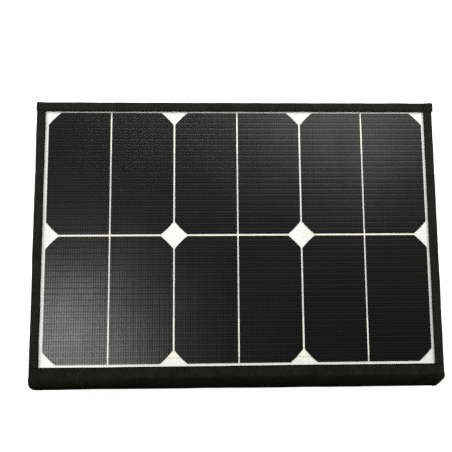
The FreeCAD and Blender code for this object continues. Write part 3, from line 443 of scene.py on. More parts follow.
def make_materials():
    """Every finish of the object, kept in MATERIALS by the record's slot name where it has one."""
    woven("case_fabric", (0.012, 0.013, 0.010), (0.024, 0.025, 0.019), 0.55, relief=0.12)
    woven("binding_tape", (0.0056, 0.0060, 0.0036), (0.0158, 0.0163, 0.0110), 0.45, edge_shadow_width=1.1)
    woven(
        "fold_fabric", (0.0058, 0.0063, 0.0037), (0.0158, 0.0165, 0.0111), 0.50,
        sheen=0.006, shine=0.04, blotch=14.0, edge_shadow_width=1.1,
    )
    woven("pocket_fabric", (0.010, 0.011, 0.009), (0.020, 0.021, 0.017), 0.55, relief=0.12)
    woven("zip_tape", (0.010, 0.010, 0.010), (0.022, 0.022, 0.021), 0.35)
    moulded("zip_coil", (0.014, 0.014, 0.014), 0.35, 0.3)
    metal("zip_metal", (0.35, 0.34, 0.32), 0.32)
    board("stiffener_board")
    moulded("black_plastic", (0.012, 0.012, 0.013))
    moulded("wire_jacket", (0.016, 0.015, 0.015), 0.5)
    moulded("cable_jacket", (0.014, 0.014, 0.014), 0.5)
    backsheet("white_backsheet")
    insulation_film("cream_insulation")
    metal("tinned_copper", (0.72, 0.70, 0.66), 0.35, (1, 0.1, 1))
    cell_silicon("black_cell")
    clear_film("clear_front_sheet")
    moulded("circuit_board", (0.01, 0.09, 0.03), 0.35)
    metal("socket_steel", (0.62, 0.61, 0.60), 0.28)
    indicator_lens("green_lens")
    thread("thread", (0.009, 0.0095, 0.0065))


make_materials()


# ---- mesh helpers


def mesh_piece(name, points, faces, slot, places=None, smooth=True):
    """A mesh object. places gives each point's UV, in millimetres along and across its fabric."""
    mesh = bpy.data.meshes.new(name)
    mesh.from_pydata([tuple(p) for p in points], [], faces)
    if places:
        layer = mesh.uv_layers.new(name="fabric")
        for loop in mesh.loops:
            layer.data[loop.index].uv = places[loop.vertex_index]
    build = bmesh.new()
    build.from_mesh(mesh)
    bmesh.ops.recalc_face_normals(build, faces=build.faces)
    build.to_mesh(mesh)
    build.free()
    mesh.polygons.foreach_set("use_smooth", [smooth] * len(mesh.polygons))
    mesh.set_sharp_from_angle(angle=SHARP_ANGLE)
    made = add_object(name, mesh)
    mesh.materials.append(MATERIALS[slot])
    return made


def tube_faces(first, rings, sides):
    """Faces of a capped tube whose rings of points follow one another from index first."""
    faces = []
    for i in range(rings - 1):
        for k in range(sides):
            a = first + i * sides + k
            b = first + i * sides + (k + 1) % sides
            faces.append((a, b, b + sides, a + sides))
    last = first + (rings - 1) * sides
    faces.append(tuple(range(first + sides - 1, first - 1, -1)))
    faces.append(tuple(range(last, last + sides)))
    return faces


def run_lengths(points):
    """Distance of each point from the first one, measured along the row."""
    runs = [0.0]
    for before, after in zip(points, points[1:]):
        runs.append(runs[-1] + math.dist(before, after))
    return runs


def sweep(name, rings, slot):
    """Skin over a row of closed rings that all have the same number of points."""
    points = [point for ring in rings for point in ring]
    girth = run_lengths(rings[0])
    reach = run_lengths([ring[0] for ring in rings])
    places = [(along / MM, around / MM) for along in reach for around in girth]
    return mesh_piece(name, points, tube_faces(0, len(rings), len(rings[0])), slot, places)


def slab(name, xs, ys, height, base, slot, smooth=True):
    """A closed sheet with a flat base and a modelled face whose height is a function of x and y."""
    columns, rows = len(xs), len(ys)
    points = [Vector((x, y, height(i, j, x, y))) for j, y in enumerate(ys) for i, x in enumerate(xs)]
    faces = []
    for j in range(rows - 1):
        for i in range(columns - 1):
            a = j * columns + i
            faces.append((a, a + 1, a + 1 + columns, a + columns))
    rim = list(range(columns))
    rim += [j * columns + columns - 1 for j in range(1, rows)]
    rim += [(rows - 1) * columns + i for i in range(columns - 2, -1, -1)]
    rim += [j * columns for j in range(rows - 2, 0, -1)]
    start = len(points)
    for index in rim:
        points.append(Vector((points[index].x, points[index].y, base)))
    count = len(rim)
    for k in range(count):
        after = (k + 1) % count
        faces.append((rim[after], rim[k], start + k, start + after))
    faces.append(tuple(start + k for k in range(count - 1, -1, -1)))
    places = [(point.x / MM, point.y / MM) for point in points]
    return mesh_piece(name, points, faces, slot, places, smooth=smooth)


def stitches(name, seams):
    """Stitches of thread, each given by its two ends and the fabric's outward direction."""
    points, faces = [], []
    sides, rings = 6, 5
    for start, end, normal in seams:
        side = (end - start).normalized().cross(normal).normalized()
        faces += tube_faces(len(points), rings, sides)
        for share in steps(0, 1, rings - 1):
            arch = math.sin(math.pi * share)
            thick = THREAD_RADIUS * (0.6 + 0.4 * arch)
            centre = start.lerp(end, share) + normal * (THREAD_RADIUS * (1.1 * arch - 0.55))
            for k in range(sides):
                angle = 2 * math.pi * k / sides
                raised = centre + normal * (thick * math.sin(angle))
                points.append(raised + side * (thick * math.cos(angle)))
    return mesh_piece(name, points, faces, "thread")


# ---- binding tapes


def seam_dimple(along, across):
    """How far a row of stitches pulls a tape's surface in."""
    beside = math.exp(-(((across - STITCH_INSET) / (0.75 * MM)) ** 2))
    pull = 0.6 + 0.4 * math.cos(2 * math.pi * along / STITCH_PITCH)
    return 0.13 * MM * beside * pull


def tape_outline(width, half):
    """Half of a tape's outer outline, from its free edge to the middle of the leaf's edge."""
    flat = width - TAPE_ROUND
    outline = [(0.0, half - 0.5 * TAPE_THICKNESS), (0.12 * MM, half - 0.12 * MM)]
    outline += [(a, half) for a in steps(0.45 * MM, flat, 7)]
    for i in range(1, 6):
        angle = math.radians(90 - 18 * i)
        outline.append((flat + TAPE_ROUND * math.cos(angle), half - TAPE_ROUND * (1 - math.sin(angle))))
    return outline


def tape_surface(along, across, up, width, half, seed, lump):
    """A point of a tape's outer skin with its ripples, stitch dimples and wandering edge."""
    face = 1 if up >= 0 else -1
    edge = 0.32 * MM * ripple(along, face, 24 * MM, seed)
    edge += 0.14 * MM * ripple(along, face, 6 * MM, seed + 3)
    bulge = 0.30 * MM * ripple(along, 0.3, 30 * MM, seed + 5)
    bulge += 0.12 * MM * ripple(along, 0.9, 7 * MM, seed + 6)
    outward = across / width
    puff = 0.10 * MM * ripple(along, across * 3, 9 * MM, seed + 8)
    swell = lump(along) * (0.4 + 0.6 * outward)
    new_across = across + edge * (1 - outward) + (bulge + swell) * outward**3
    flatness = min(1.0, abs(up) / half)
    new_up = up + face * (puff + 0.7 * swell - seam_dimple(along, across)) * flatness**4
    return new_across, new_up


def edge_tape(
    name, node, body, to_frame, ends, width, half, seed, lump=lambda along: 0.0, slot="binding_tape",
):
    """A fabric tape folded over a leaf's edge and stitched through, with its two rows of thread.

    to_frame turns (along, across, up) into a point; across counts from the tape's free edges, width
    is how wide it is across, half is half its outer thickness, and lump(along) swells its ends.
    """
    upper = tape_outline(width, half)
    outer = upper + [(a, -up) for a, up in reversed(upper)]
    inner_half = half - TAPE_THICKNESS
    inside = width - TAPE_THICKNESS - TAPE_EASE
    inner = [(0.3 * MM, -inner_half), (inside, -inner_half), (inside, inner_half), (0.3 * MM, inner_half)]
    count = max(2, round((ends[1] - ends[0]) / TAPE_STEP))
    rings = []
    for along in steps(ends[0], ends[1], count):
        ring = []
        for across, up in outer:
            a, u = tape_surface(along, across, up, width, half, seed, lump)
            ring.append(to_frame(along, a, u))
        ring += [to_frame(along, a, u) for a, u in inner]
        rings.append(ring)
    tape = sweep(name, rings, slot)
    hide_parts(node)
    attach(tape, body)
    seams = []
    for face in (1, -1):
        spots = int((ends[1] - ends[0]) / STITCH_PITCH) - 1
        for i in range(1, spots):
            start = ends[0] + i * STITCH_PITCH
            spans = []
            for along in (start, start + STITCH_LENGTH):
                a, u = tape_surface(along, STITCH_INSET, face * half, width, half, seed, lump)
                spans.append(to_frame(along, a, u + face * 0.05 * MM))
            normal = (to_frame(start, 0, face) - to_frame(start, 0, 0)).normalized()
            seams.append((spans[0], spans[1], normal))
    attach(stitches(name + "_thread", seams), body)


def across_x(side, inner, level):
    """Places a tape that runs along y on the left (side -1) or right edge of a leaf."""
    return lambda along, across, up: Vector((side * (inner + across) + TAPE_DRIFT, along, level + up))


def across_y(side, inner, level):
    """Places a tape that runs along x on the near (side -1) or far edge of a leaf."""
    return lambda along, across, up: Vector((along, side * (inner + across), level + up))


def folded_ends(reach, size):
    """Lumps where the ends of a crossing tape are tucked under at the leaf's corners."""

    def lump(along):
        near_end = smooth_step(reach - 11 * MM, reach - 2 * MM, abs(along))
        wave = 0.65 + 0.6 * ripple(along, 0.5, 4 * MM, 21)
        closing = smooth_step(reach + 0.2 * MM, reach - 1.4 * MM, abs(along))
        return size * near_end * wave - 1.0 * MM * (1 - closing)

    return lump


def side_tapes():
    """The left and right tapes of the three leaves."""
    for number, leaf in enumerate(LEAVES):
        node = leaf + "_side_tapes"
        inner = side_tape_inner_x(leaf)
        width = high(node).x - inner + TAPE_EASE
        half = half_size(node, Z) - 0.12 * MM
        ends = (low(node).y, high(node).y + 2 * MM)
        for side, word in ((-1, "left"), (1, "right")):
            place = across_x(side, inner, middle(node).z)
            name = f"{leaf}_{word}_tape"
            edge_tape(name, node, LEAF_BODY[leaf], place, ends, width, half, 3 * number + side)


def crossing_tape(name, node, body, place, reach, width, half, seed, tuck, slot="binding_tape"):
    """A tape along a leaf's near or far edge, whose ends are tucked under at the leaf's corners."""
    edge_tape(name, node, body, place, (-reach, reach), width, half, seed, folded_ends(reach, tuck), slot)


def free_edge_tapes():
    """The tapes of the front leaf's top edge and the rear leaf's free edge."""
    top, free = "front_top_edge_tape", "rear_free_edge_tape"
    reach = high(top).x
    crossing_tape(
        "front_top_tape", top, "front_leaf", across_y(1, low(top).y, middle(top).z), reach,
        high(top).y - low(top).y + TAPE_EASE, half_size(top, Z), 31, 0.75 * MM,
    )
    crossing_tape(
        "rear_free_tape", free, "rear_leaf", across_y(-1, -high(free).y, middle(free).z), reach,
        high(free).y - low(free).y, half_size(free, Z), 37, 0.6 * MM,
    )


def rear_fold_bindings():
    """The fabric that binds the middle and rear leaves along the rear fold."""
    upper, lower = "rear_fold_strip_upper", "rear_fold_strip_lower"
    outer, reach = high(upper).y, high(upper).x
    half = half_size(upper, Z)
    for name, node, body, level, seed in (
        ("rear_fold_binding_upper", upper, "middle_leaf", middle(upper).z, 41),
        ("rear_fold_binding_lower", lower, "rear_leaf", low(lower).z + half, 43),
    ):
        inner = low(node).y
        place = across_y(1, inner, level)
        crossing_tape(name, node, body, place, reach, outer - inner, half, seed, 0.3 * MM, "fold_fabric")


# ---- front fold


class FrontFold:
    """Shape of the fabric that wraps the near edge of the front and middle leaves.

    The fabric leaves a leaf at bend, or at crease where it breaks instead of rolling, and reaches its
    nearest line, nose, at height level. skew is the nose's slope against the x axis.
    """

    top = high("front_fold_strip_upper").z
    bottom = low("front_fold_strip_lower").z
    level = bottom + 2.7 * MM
    bend = low("front_encapsulant").y + 1.5 * MM
    crease = low("front_encapsulant").y + 0.2 * MM
    nose = low("fold_spine").y - 1.9 * MM
    skew = 0.0025
    thickness = 1.0 * MM
    reach = high("front_side_tapes").x + TAPE_EASE + 0.15 * MM
    tape_width = high("front_side_tapes").x - side_tape_inner_x("front")
    left_corner = 6.5 * MM
    right_corner = 7.8 * MM

    @classmethod
    def path(cls, inner_edge, height, plump):
        """Points (y, distance from the nose's level) of one half, from its edge on the leaf to the nose.

        plump is 1 for an even roll and 0 for fabric that breaks at a crease and slopes down to the nose.
        """
        bend = mix(cls.crease, cls.bend, plump)
        power = mix(1.2, 2.0, plump)
        points = [(y, height) for y in steps(inner_edge, bend, 7)]
        for i in range(1, 19):
            angle = math.radians(5 * i)
            forward = math.sin(angle) ** (2 / power)
            upward = max(0.0, math.cos(angle)) ** (2 / power)
            points.append((bend + (cls.nose - bend) * forward, height * upward))
        return points

    @classmethod
    def plumpness(cls, x):
        """How evenly the fabric rolls at x: plump at the left end, less so at the right, else creased."""
        left = smooth_step(-70 * MM, -165 * MM, x)
        right = 0.4 * smooth_step(120 * MM, 180 * MM, x)
        return max(left, right, 0.12 + 0.12 * ripple(x, 0.4, 45 * MM, 55))

    @classmethod
    def end(cls, side, y):
        """How far the fabric reaches to the left (side -1) or right at a given y."""
        if side < 0:
            into = min(cls.left_corner, max(0.0, cls.nose + cls.left_corner - y))
            cut = cls.left_corner - math.sqrt(max(0.0, cls.left_corner**2 - into**2))
        else:
            cut = 0.8 * max(0.0, cls.nose + cls.right_corner - y)
        return cls.reach - cut

    @classmethod
    def seam(cls, side, y):
        """Distance from the middle to the inner edge of the binding at one end, which curls inward."""
        curl = 2.6 * MM * smooth_step(cls.bend, cls.nose, y)
        inner = cls.reach - TAPE_EASE - cls.tape_width - curl * (1.0 if side < 0 else 0.3)
        return min(inner, cls.end(side, y) - 4 * MM)


def path_normals(path):
    """Directions (y, z) square to a path of (y, z) points."""
    found = []
    for i, _ in enumerate(path):
        before, after = path[max(0, i - 1)], path[min(len(path) - 1, i + 1)]
        dy, dz = after[0] - before[0], after[1] - before[1]
        length = math.hypot(dy, dz)
        found.append((dz / length, -dy / length))
    return found


def fold_normals(path):
    """Directions square to a path down to the nose, where the fabric points straight ahead."""
    return path_normals(path)[:-1] + [(-1.0, 0.0)]


def fold_wave(x, run):
    """Ripples of the fold's fabric at a distance run along its path, from long pulls to small puckers."""
    drape = 0.30 * MM * ripple(x, run * 2.0, 55 * MM, 51)
    small = 0.14 * MM * ripple(x, run * 1.5, 13 * MM, 53)
    return (drape + small) * smooth_step(0.0, 9 * MM, run)


def fold_rings(path, runs, at):
    """Closed rings of the fold's fabric, skin and lining, from left to right."""
    fold = FrontFold
    rings = []
    for share in steps(0, 1, 210):
        outer, inner = [], []
        for k, (y, _) in enumerate(path):
            x = mix(-fold.end(-1, y) + 1.6 * MM, fold.end(1, y) - 1.6 * MM, share)
            gap = abs(x) + 0.5 * MM - fold.seam(math.copysign(1, x), y)
            pressed = 0.75 * MM * math.exp(-((gap / (0.75 * MM)) ** 2))
            pressed *= smooth_step(fold.bend + 3 * MM, fold.bend, y) * (1.0 if x < 0 else 0.4)
            depth = pressed - fold_wave(x, runs[k])
            backing = mix(0.62 * MM, fold.thickness, smooth_step(fold.bend, fold.bend - 4 * MM, y))
            edge = 0.25 * MM * ripple(x, 0.2, 26 * MM, 57) if k < 2 else 0.0
            outer.append(at(x, k, depth) + Vector((0, edge, 0)))
            inner.append(at(x, k, depth + backing) + Vector((0, edge, 0)))
        rings.append(outer + inner[::-1])
    return rings


def fold_thread(name, body, y, up, height):
    """The row of stitches that sews half of the fold to its leaf."""
    fold = FrontFold
    inset = 12 * MM
    seams = []
    for i in range(int(2 * (fold.reach - inset) / STITCH_PITCH)):
        x = -fold.reach + inset + i * STITCH_PITCH
        spans = []
        for at_x in (x, x + STITCH_LENGTH):
            wave = fold_wave(at_x, STITCH_INSET)
            spans.append(Vector((at_x, y, fold.level + up * (height + wave - 0.04 * MM))))
        seams.append((spans[0], spans[1], Vector((0, 0, up))))
    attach(stitches(name, seams), body)


def fold_half(name, leaf, inner_edge, up, nodes):
    """Half of the front fold: fabric and bound ends that run from leaf to spine, and a seam on the leaf."""
    fold = FrontFold
    height = fold.top - fold.level if up > 0 else fold.level - fold.bottom
    plump, creased = fold.path(inner_edge, height, 1), fold.path(inner_edge, height, 0)
    plump_normals, creased_normals = fold_normals(plump), fold_normals(creased)
    runs = run_lengths(plump)

    def at(x, k, depth):
        share = fold.plumpness(x)
        y, z = (mix(a, b, share) for a, b in zip(creased[k], plump[k]))
        out_y, out_z = (mix(a, b, share) for a, b in zip(creased_normals[k], plump_normals[k]))
        length = math.hypot(out_y, out_z)
        out_y, out_z = out_y / length, out_z / length
        y -= fold.skew * x * smooth_step(fold.bend, fold.nose, y)
        return Vector((x + TAPE_DRIFT, y - depth * out_y, fold.level + up * (z - depth * out_z)))

    fabric = sweep(name, fold_rings(plump, runs, at), "fold_fabric")
    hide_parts(*nodes)
    pieces = [fabric]
    for side, word in ((-1, "left"), (1, "right")):
        pieces.append(fold_end(f"{name}_{word}_end", side, plump, runs, at))
    for piece in pieces:
        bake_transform(piece)
    fold_thread(name + "_thread", LEAF_BODY[leaf], inner_edge - STITCH_INSET, up, height)


def fold_end(name, side, path, runs, at):
    """The binding round one end of the fold's fabric, carried on from the leaf's side tape."""
    fold = FrontFold
    first = next(k for k, (y, _) in enumerate(path) if y <= fold.bend + 1e-6)
    above, below = 0.28 * MM, 1.7 * MM
    radius = (above + below) / 2
    rings = []
    for k in range(first, len(path)):
        y = path[k][0]
        outer = fold.end(side, y)
        inner = fold.seam(side, y) + 0.2 * MM * ripple(y, side, 5 * MM, 61)
        spots = [(a, -above) for a in steps(inner, outer - radius, 6)]
        for i in range(1, 6):
            angle = math.radians(90 - 30 * i)
            across = outer - radius + radius * math.cos(angle)
            spots.append((across, radius - above - radius * math.sin(angle)))
        spots += [(a, below) for a in steps(outer - radius, inner, 6)]
        ring = []
        for a, depth in spots:
            puff = 0.08 * MM * ripple(a, runs[k], 6 * MM, 63) if depth < 0 else 0.0
            ring.append(at(side * a, k, depth - puff))
        rings.append(ring)
    return sweep(name, rings, "binding_tape")


def front_fold():
    """Both halves of the front fold, which meet on the spine."""
    upper_edge = high("front_fold_strip_upper").y + 0.4 * MM
    lower_edge = high("front_fold_strip_lower").y
    fold_half("front_fold_fabric_upper", "front", upper_edge, 1, ["front_fold_strip_upper", "fold_spine"])
    fold_half("front_fold_fabric_lower", "middle", lower_edge, -1, ["front_fold_strip_lower", "fold_spine"])


# ---- rear fold


def rear_hinge():
    """The narrow loop of fabric that joins the middle and rear leaves at the rear fold."""
    upper = "rear_fold_strip_upper"
    axis_y = high("rear_fold_strip_lower").y - 0.9 * MM
    level = (low(upper).z + high("rear_clear_sheet").z + TAPE_THICKNESS) / 2
    inner_edge = low(upper).y + 3 * MM
    radius, thickness = 0.62 * MM, 0.5 * MM
    reach = high(upper).x - 4 * MM
    path = [(y, radius) for y in steps(inner_edge, axis_y, 4)]
    for i in range(1, 12):
        angle = math.radians(90 - 15 * i)
        path.append((axis_y + radius * math.cos(angle), radius * math.sin(angle)))
    path += [(y, -radius) for y in steps(axis_y, inner_edge, 4)]
    inward = path_normals(path)
    rings = []
    for x in steps(-reach, reach, 180):
        outer, inner = [], []
        for k, (y, z) in enumerate(path):
            wave = 0.10 * MM * ripple(x, k, 9 * MM, 71) * smooth_step(axis_y - 3 * MM, axis_y, y)
            out = -Vector((0, *inward[k]))
            outer.append(Vector((x, y, level + z)) + out * wave)
            inner.append(Vector((x, y, level + z)) - out * (thickness - wave))
        rings.append(outer + inner[::-1])
    loop = sweep("rear_fold_hinge", rings, "fold_fabric")
    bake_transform(loop)


# ---- embossed front sheets


def embossed_sheet(leaf):
    """The clear front sheet with the woven grid pressed into its outer face."""
    node = leaf + "_clear_sheet"
    bottom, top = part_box(node)
    face_up = FACE_UP[leaf]
    columns = 2 * round((top.x - bottom.x) / EMBOSS_X)
    rows = 2 * round((top.y - bottom.y) / EMBOSS_Y)
    chance = random.Random(11)
    strength_x = [0.75 + 0.5 * chance.random() for _ in range(columns + 1)]
    strength_y = [(1.0 if (j // 2) % 2 else 0.62) * (0.85 + 0.3 * chance.random()) for j in range(rows + 1)]
    outer = top.z if face_up > 0 else bottom.z
    base = bottom.z - 0.04 * MM if face_up > 0 else top.z + 0.04 * MM

    def height(i, j, x, y):
        groove_x = 0.42 * strength_x[i] if i % 2 == 0 else 0.0
        groove_y = 0.58 * strength_y[j] if j % 2 == 0 else 0.0
        sway = 0.06 * MM * ripple(x, y, 70 * MM, 81)
        speck = 0.25 * chance.random() if chance.random() < 0.05 else 0.0
        return outer - face_up * (EMBOSS_DEPTH * (groove_x + groove_y + speck) + 0.04 * MM - 0.5 * sway)

    xs = steps(bottom.x, top.x, columns)
    ys = steps(bottom.y, top.y, rows)
    sheet = slab(node + "_embossed", xs, ys, height, base, "clear_front_sheet", smooth=False)
    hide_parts(node, leaf + "_encapsulant")
    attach(sheet, LEAF_BODY[leaf])
    return sheet


# ---- leaf covers


def leaf_cover(leaf):
    """The woven cover on the back of a leaf, puckered along its bound edges."""
    node = leaf + "_back_cover"
    bottom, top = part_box(node)
    outward = -FACE_UP[leaf]
    outer = bottom.z if outward < 0 else top.z
    base = top.z if outward < 0 else bottom.z
    seed = 90 + LEAVES.index(leaf)
    margin = 9 * MM

    def height(i, j, x, y):
        gap_x = min(x - bottom.x, top.x - x) - margin
        gap_y = min(y - bottom.y, top.y - y) - margin
        near = max(0.0, min(gap_x, gap_y))
        loose = smooth_step(0.0, 30 * MM, near)
        drape = 0.35 * ripple(x, y * 1.7, 60 * MM, seed) + 0.12 * ripple(x, y, 17 * MM, seed + 4)
        along = y if gap_x < gap_y else x
        pucker = 0.16 * MM * math.exp(-near / (7 * MM)) * ripple(along, near * 0.3, 3.2 * MM, seed + 9)
        return outer + outward * (drape * MM * loose + pucker - 0.06 * MM)

    xs = steps(bottom.x, top.x, 190)
    ys = steps(bottom.y, top.y, 130)
    cover = slab(node + "_fabric", xs, ys, height, base, "case_fabric")
    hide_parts(node)
    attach(cover, LEAF_BODY[leaf])


# ---- pocket


def rounded_outline(half_x, half_y, radius, spacing):
    """Points round a rounded rectangle centred on the origin, with each point's outward direction."""
    found = []
    corners = ((1, -1, -90), (1, 1, 0), (-1, 1, 90), (-1, -1, 180))
    for sign_x, sign_y, start in corners:
        centre = Vector((sign_x * (half_x - radius), sign_y * (half_y - radius), 0))
        for i in range(9):
            angle = math.radians(start + 90 * i / 8)
            out = Vector((math.cos(angle), math.sin(angle), 0))
            found.append((centre + out * radius, out))
        is_vertical = start in (-90, 90)
        run = 2 * (half_y - radius) if is_vertical else 2 * (half_x - radius)
        last, out = found[-1]
        heading = Vector((-out.y, out.x, 0))
        count = round(run / spacing)
        for i in range(1, count):
            found.append((last + heading * (run * i / count), out.copy()))
    return found


class Pocket:
    """Shape of the pocket: a flange sewn to the rear leaf, crowned walls, a rolled seam and a panel.

    window_rows are the rows of faces that leave an opening for the zip.
    """

    centre = middle("pocket_panel")
    half_x = half_size("pocket_panel", X)
    half_y = half_size("pocket_panel", Y)
    top = high("pocket_gusset").z
    floor = low("pocket_panel").z
    window_x = 150 * MM
    window_top, window_bottom = high("zip_tapes").z, low("zip_tapes").z
    window_rows = range(3, 8)

    @classmethod
    def rows(cls):
        """Rows of points from the flange to the panel: how far out of the wall each is, and its height."""
        top, floor = cls.top, cls.floor
        rows = [(6.5 * MM, top - 0.25 * MM), (1.5 * MM, top - 0.3 * MM), (0.3 * MM, top - 0.8 * MM)]
        rows += [(0.0, z) for z in steps(cls.window_top, cls.window_bottom, len(cls.window_rows))]
        rows += [(0.15 * MM, floor + 2.3 * MM), (0.9 * MM, floor + 1.8 * MM), (1.1 * MM, floor + 1.0 * MM)]
        rows += [(0.5 * MM, floor + 0.6 * MM), (-1.2 * MM, floor + 0.56 * MM)]
        insets = (4, 8, 14, 22, 32, 44, 58, 74, 90)
        return rows + [(-inset * MM, floor + 0.54 * MM) for inset in insets]

    @classmethod
    def point(cls, point, out, outset, z):
        """A point of the skin in a row, beside a point of the outline whose outward direction is out."""
        centre = cls.centre
        if outset < -2 * MM:
            x = centre.x + point.x * ((cls.half_x + outset) / cls.half_x)
            y = centre.y + point.y * ((cls.half_y + outset) / cls.half_y)
            spot = Vector((x, y, 0))
            spot.z = z + 0.18 * MM * (1 + ripple(spot.x, spot.y, 22 * MM, 103))
            return spot
        spot = Vector((centre.x, centre.y, 0)) + point + out * outset
        on_window = out.y < -0.9 and abs(spot.x) < cls.window_x + 3 * MM
        rise = (z - cls.floor) / (cls.top - cls.floor)
        if -1 * MM < outset <= 0.3 * MM and rise > 0.15 and not on_window:
            crown = 1.3 * MM * math.sin(math.pi * rise)
            run = spot.x + spot.y * 1.3
            pull = 0.9 * MM * ripple(run, rise * 0.02, 11 * MM, 101) * math.sin(math.pi * rise)
            spot += out * (crown + pull)
        spot.z = z
        return spot


def pocket_shell():
    """The pocket's skin, open at the zip."""
    outline = rounded_outline(Pocket.half_x, Pocket.half_y, 15 * MM, 4 * MM)
    count = len(outline)
    rows = Pocket.rows()
    points, places = [], []
    for outset, z in rows:
        for corner, out in outline:
            spot = Pocket.point(corner, out, outset, z)
            points.append(spot)
            if outset < -1 * MM:
                places.append((spot.x / MM, spot.y / MM))
            else:
                places.append(((corner.x - corner.y) / MM, z / MM + outset / MM))
    faces = []
    for r in range(len(rows) - 1):
        for k in range(count):
            a, b = r * count + k, r * count + (k + 1) % count
            middle_x = (points[a].x + points[b].x) / 2
            in_window = outline[k][1].y < -0.99 and abs(middle_x) < Pocket.window_x
            if not (in_window and r in Pocket.window_rows):
                faces.append((a, b, b + count, a + count))
    last = (len(rows) - 1) * count
    faces.append(tuple(range(last, last + count)))
    shell = mesh_piece("pocket_shell", points, faces, "pocket_fabric", places)
    skin = shell.modifiers.new("cloth", "SOLIDIFY")
    skin.thickness = 0.5 * MM
    skin.offset = -1.0
    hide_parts("pocket_panel", "pocket_gusset")
    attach(shell, "rear_leaf")


def pocket_thread():
    """The stitches that sew the pocket's flange to the rear leaf."""
    outset = 4 * MM
    outline = rounded_outline(Pocket.half_x + outset, Pocket.half_y + outset, 19 * MM, STITCH_PITCH)
    seams = []
    for point, out in outline:
        heading = Vector((-out.y, out.x, 0))
        start = Vector((Pocket.centre.x, Pocket.centre.y, Pocket.top - 0.78 * MM)) + point
        seams.append((start, start + heading * STITCH_LENGTH, Vector((0, 0, -1))))
    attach(stitches("pocket_flange_thread", seams), "rear_leaf")


def zip_tape_pair():
    """The woven tapes that carry the zip's coils, as one strip."""
    node = "zip_tapes"
    bottom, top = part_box(node)
    rings = []
    for x in steps(bottom.x, top.x, 200):
        wave = 0.08 * MM * ripple(x, 0, 15 * MM, 111)
        ring = [Vector((x, bottom.y + wave, z)) for z in steps(bottom.z, top.z, 8)]
        ring += [Vector((x, top.y + wave, z)) for z in steps(top.z, bottom.z, 8)]
        rings.append(ring)
    tape = sweep("zip_tape_pair", rings, "zip_tape")
    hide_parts(node)
    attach(tape, "rear_leaf")


def zip_coil_pair():
    """The two interlocked coils of wire that close the zip."""
    node = "zip_coils"
    bottom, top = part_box(node)
    centre = middle(node)
    wire, pitch = 0.26 * MM, 1.0 * MM
    corners, sides = 10, 5
    deep = (top.y - bottom.y) / 2 - wire
    tall = (top.z - bottom.z) / 4 + 0.12 * MM - wire
    turns = int((top.x - bottom.x) / pitch) - 1
    rings = turns * corners + 1
    points, faces = [], []
    for row in (-1, 1):
        axis_z = centre.z + row * ((top.z - bottom.z) / 4 - 0.08 * MM)
        faces += tube_faces(len(points), rings, sides)
        for i in range(rings):
            angle = 2 * math.pi * i / corners
            x = bottom.x + pitch * (0.75 + i / corners) + 0.25 * row * pitch
            outward = Vector((0, math.cos(angle), math.sin(angle) * row))
            hub = Vector((x, centre.y + deep * outward.y, axis_z + tall * outward.z))
            for k in range(sides):
                around = 2 * math.pi * k / sides
                aside = Vector((wire * math.sin(around), 0, 0))
                points.append(hub + outward * (wire * math.cos(around)) + aside)
    coil = mesh_piece("zip_coil_pair", points, faces, "zip_coil")
    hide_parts(node)
    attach(coil, "rear_leaf")


# ---- hard parts


def finish_hard_parts():
    """Give every CAD node that is still shown the finish of its slot, and round a few parts' edges."""
    rounded = ("regulator_lower_case", "regulator_upper_case", "zip_slider", "zip_pull", "cable_plug")
    slots = {part["node"]: part["material_slot"] for part in frame["record"]["subparts"]}
    for name, node in frame["nodes"].items():
        if node.hide_render:
            continue
        node.data.materials.clear()
        node.data.materials.append(MATERIALS[slots[name]])
        if name in rounded:
            rounding = node.modifiers.new("rounding", "BEVEL")
            rounding.width = 0.25 * MM
            rounding.segments = 2


# ---- studio


def floor():
    """A wide pale floor, lit to the same white as the background."""
    size = 6.0
    points = [(x * size, y * size, 0) for x, y in ((-1, -1), (1, -1), (1, 1), (-1, 1))]
    mesh = bpy.data.meshes.new("floor")
    mesh.from_pydata(points, [], [(0, 1, 2, 3)])
    made = add_object("floor", mesh)
    paint = Paint("studio_floor")
    mottle = paint.cloud(120.0, 2.0)
    shade = paint.blend(mottle, (0.62, 0.62, 0.62), (0.66, 0.66, 0.66))
    matt = paint.node("BsdfDiffuse", {"Color": shade}).outputs[0]
    glow = paint.node("Emission", {"Color": (1, 1, 1, 1), "Strength": 0.96}).outputs[0]
    lit = paint.node("AddShader", {0: matt, 1: glow}).outputs[0]
    dim = paint.node("BsdfDiffuse", {"Color": (0.3, 0.3, 0.3, 1)}).outputs[0]
    seen = paint.node("LightPath").outputs["Is Camera Ray"]
    paint.finish(paint.node("MixShader", {0: seen, 1: dim, 2: lit}).outputs[0])
    mesh.materials.append(paint.material)
    made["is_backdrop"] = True


def lamp(name, target, direction, distance, size, power):
    """A square soft box that shines at a target from a given direction."""
    light = bpy.data.lights.new(name, "AREA")
    light.shape = "SQUARE"
    light.size = size
    light.energy = power
    # With it on, the dull shine of the sheets picks up more grain from such small lamps.
    light.cycles.use_multiple_importance_sampling = False
    made = add_object(name, light)
    back = Vector(direction).normalized()
    made.location = target + back * distance
    made.rotation_mode = "QUATERNION"
    made.rotation_quaternion = (-back).to_track_quat("-Z", "Y")
    return made


def linked(name, things, state):
    """A light-linking collection that includes or excludes some objects."""
    made = bpy.data.collections.new(name)
    for thing in things:
        made.objects.link(thing)
    for link in made.collection_objects:
        link.light_linking.link_state = state
    return made


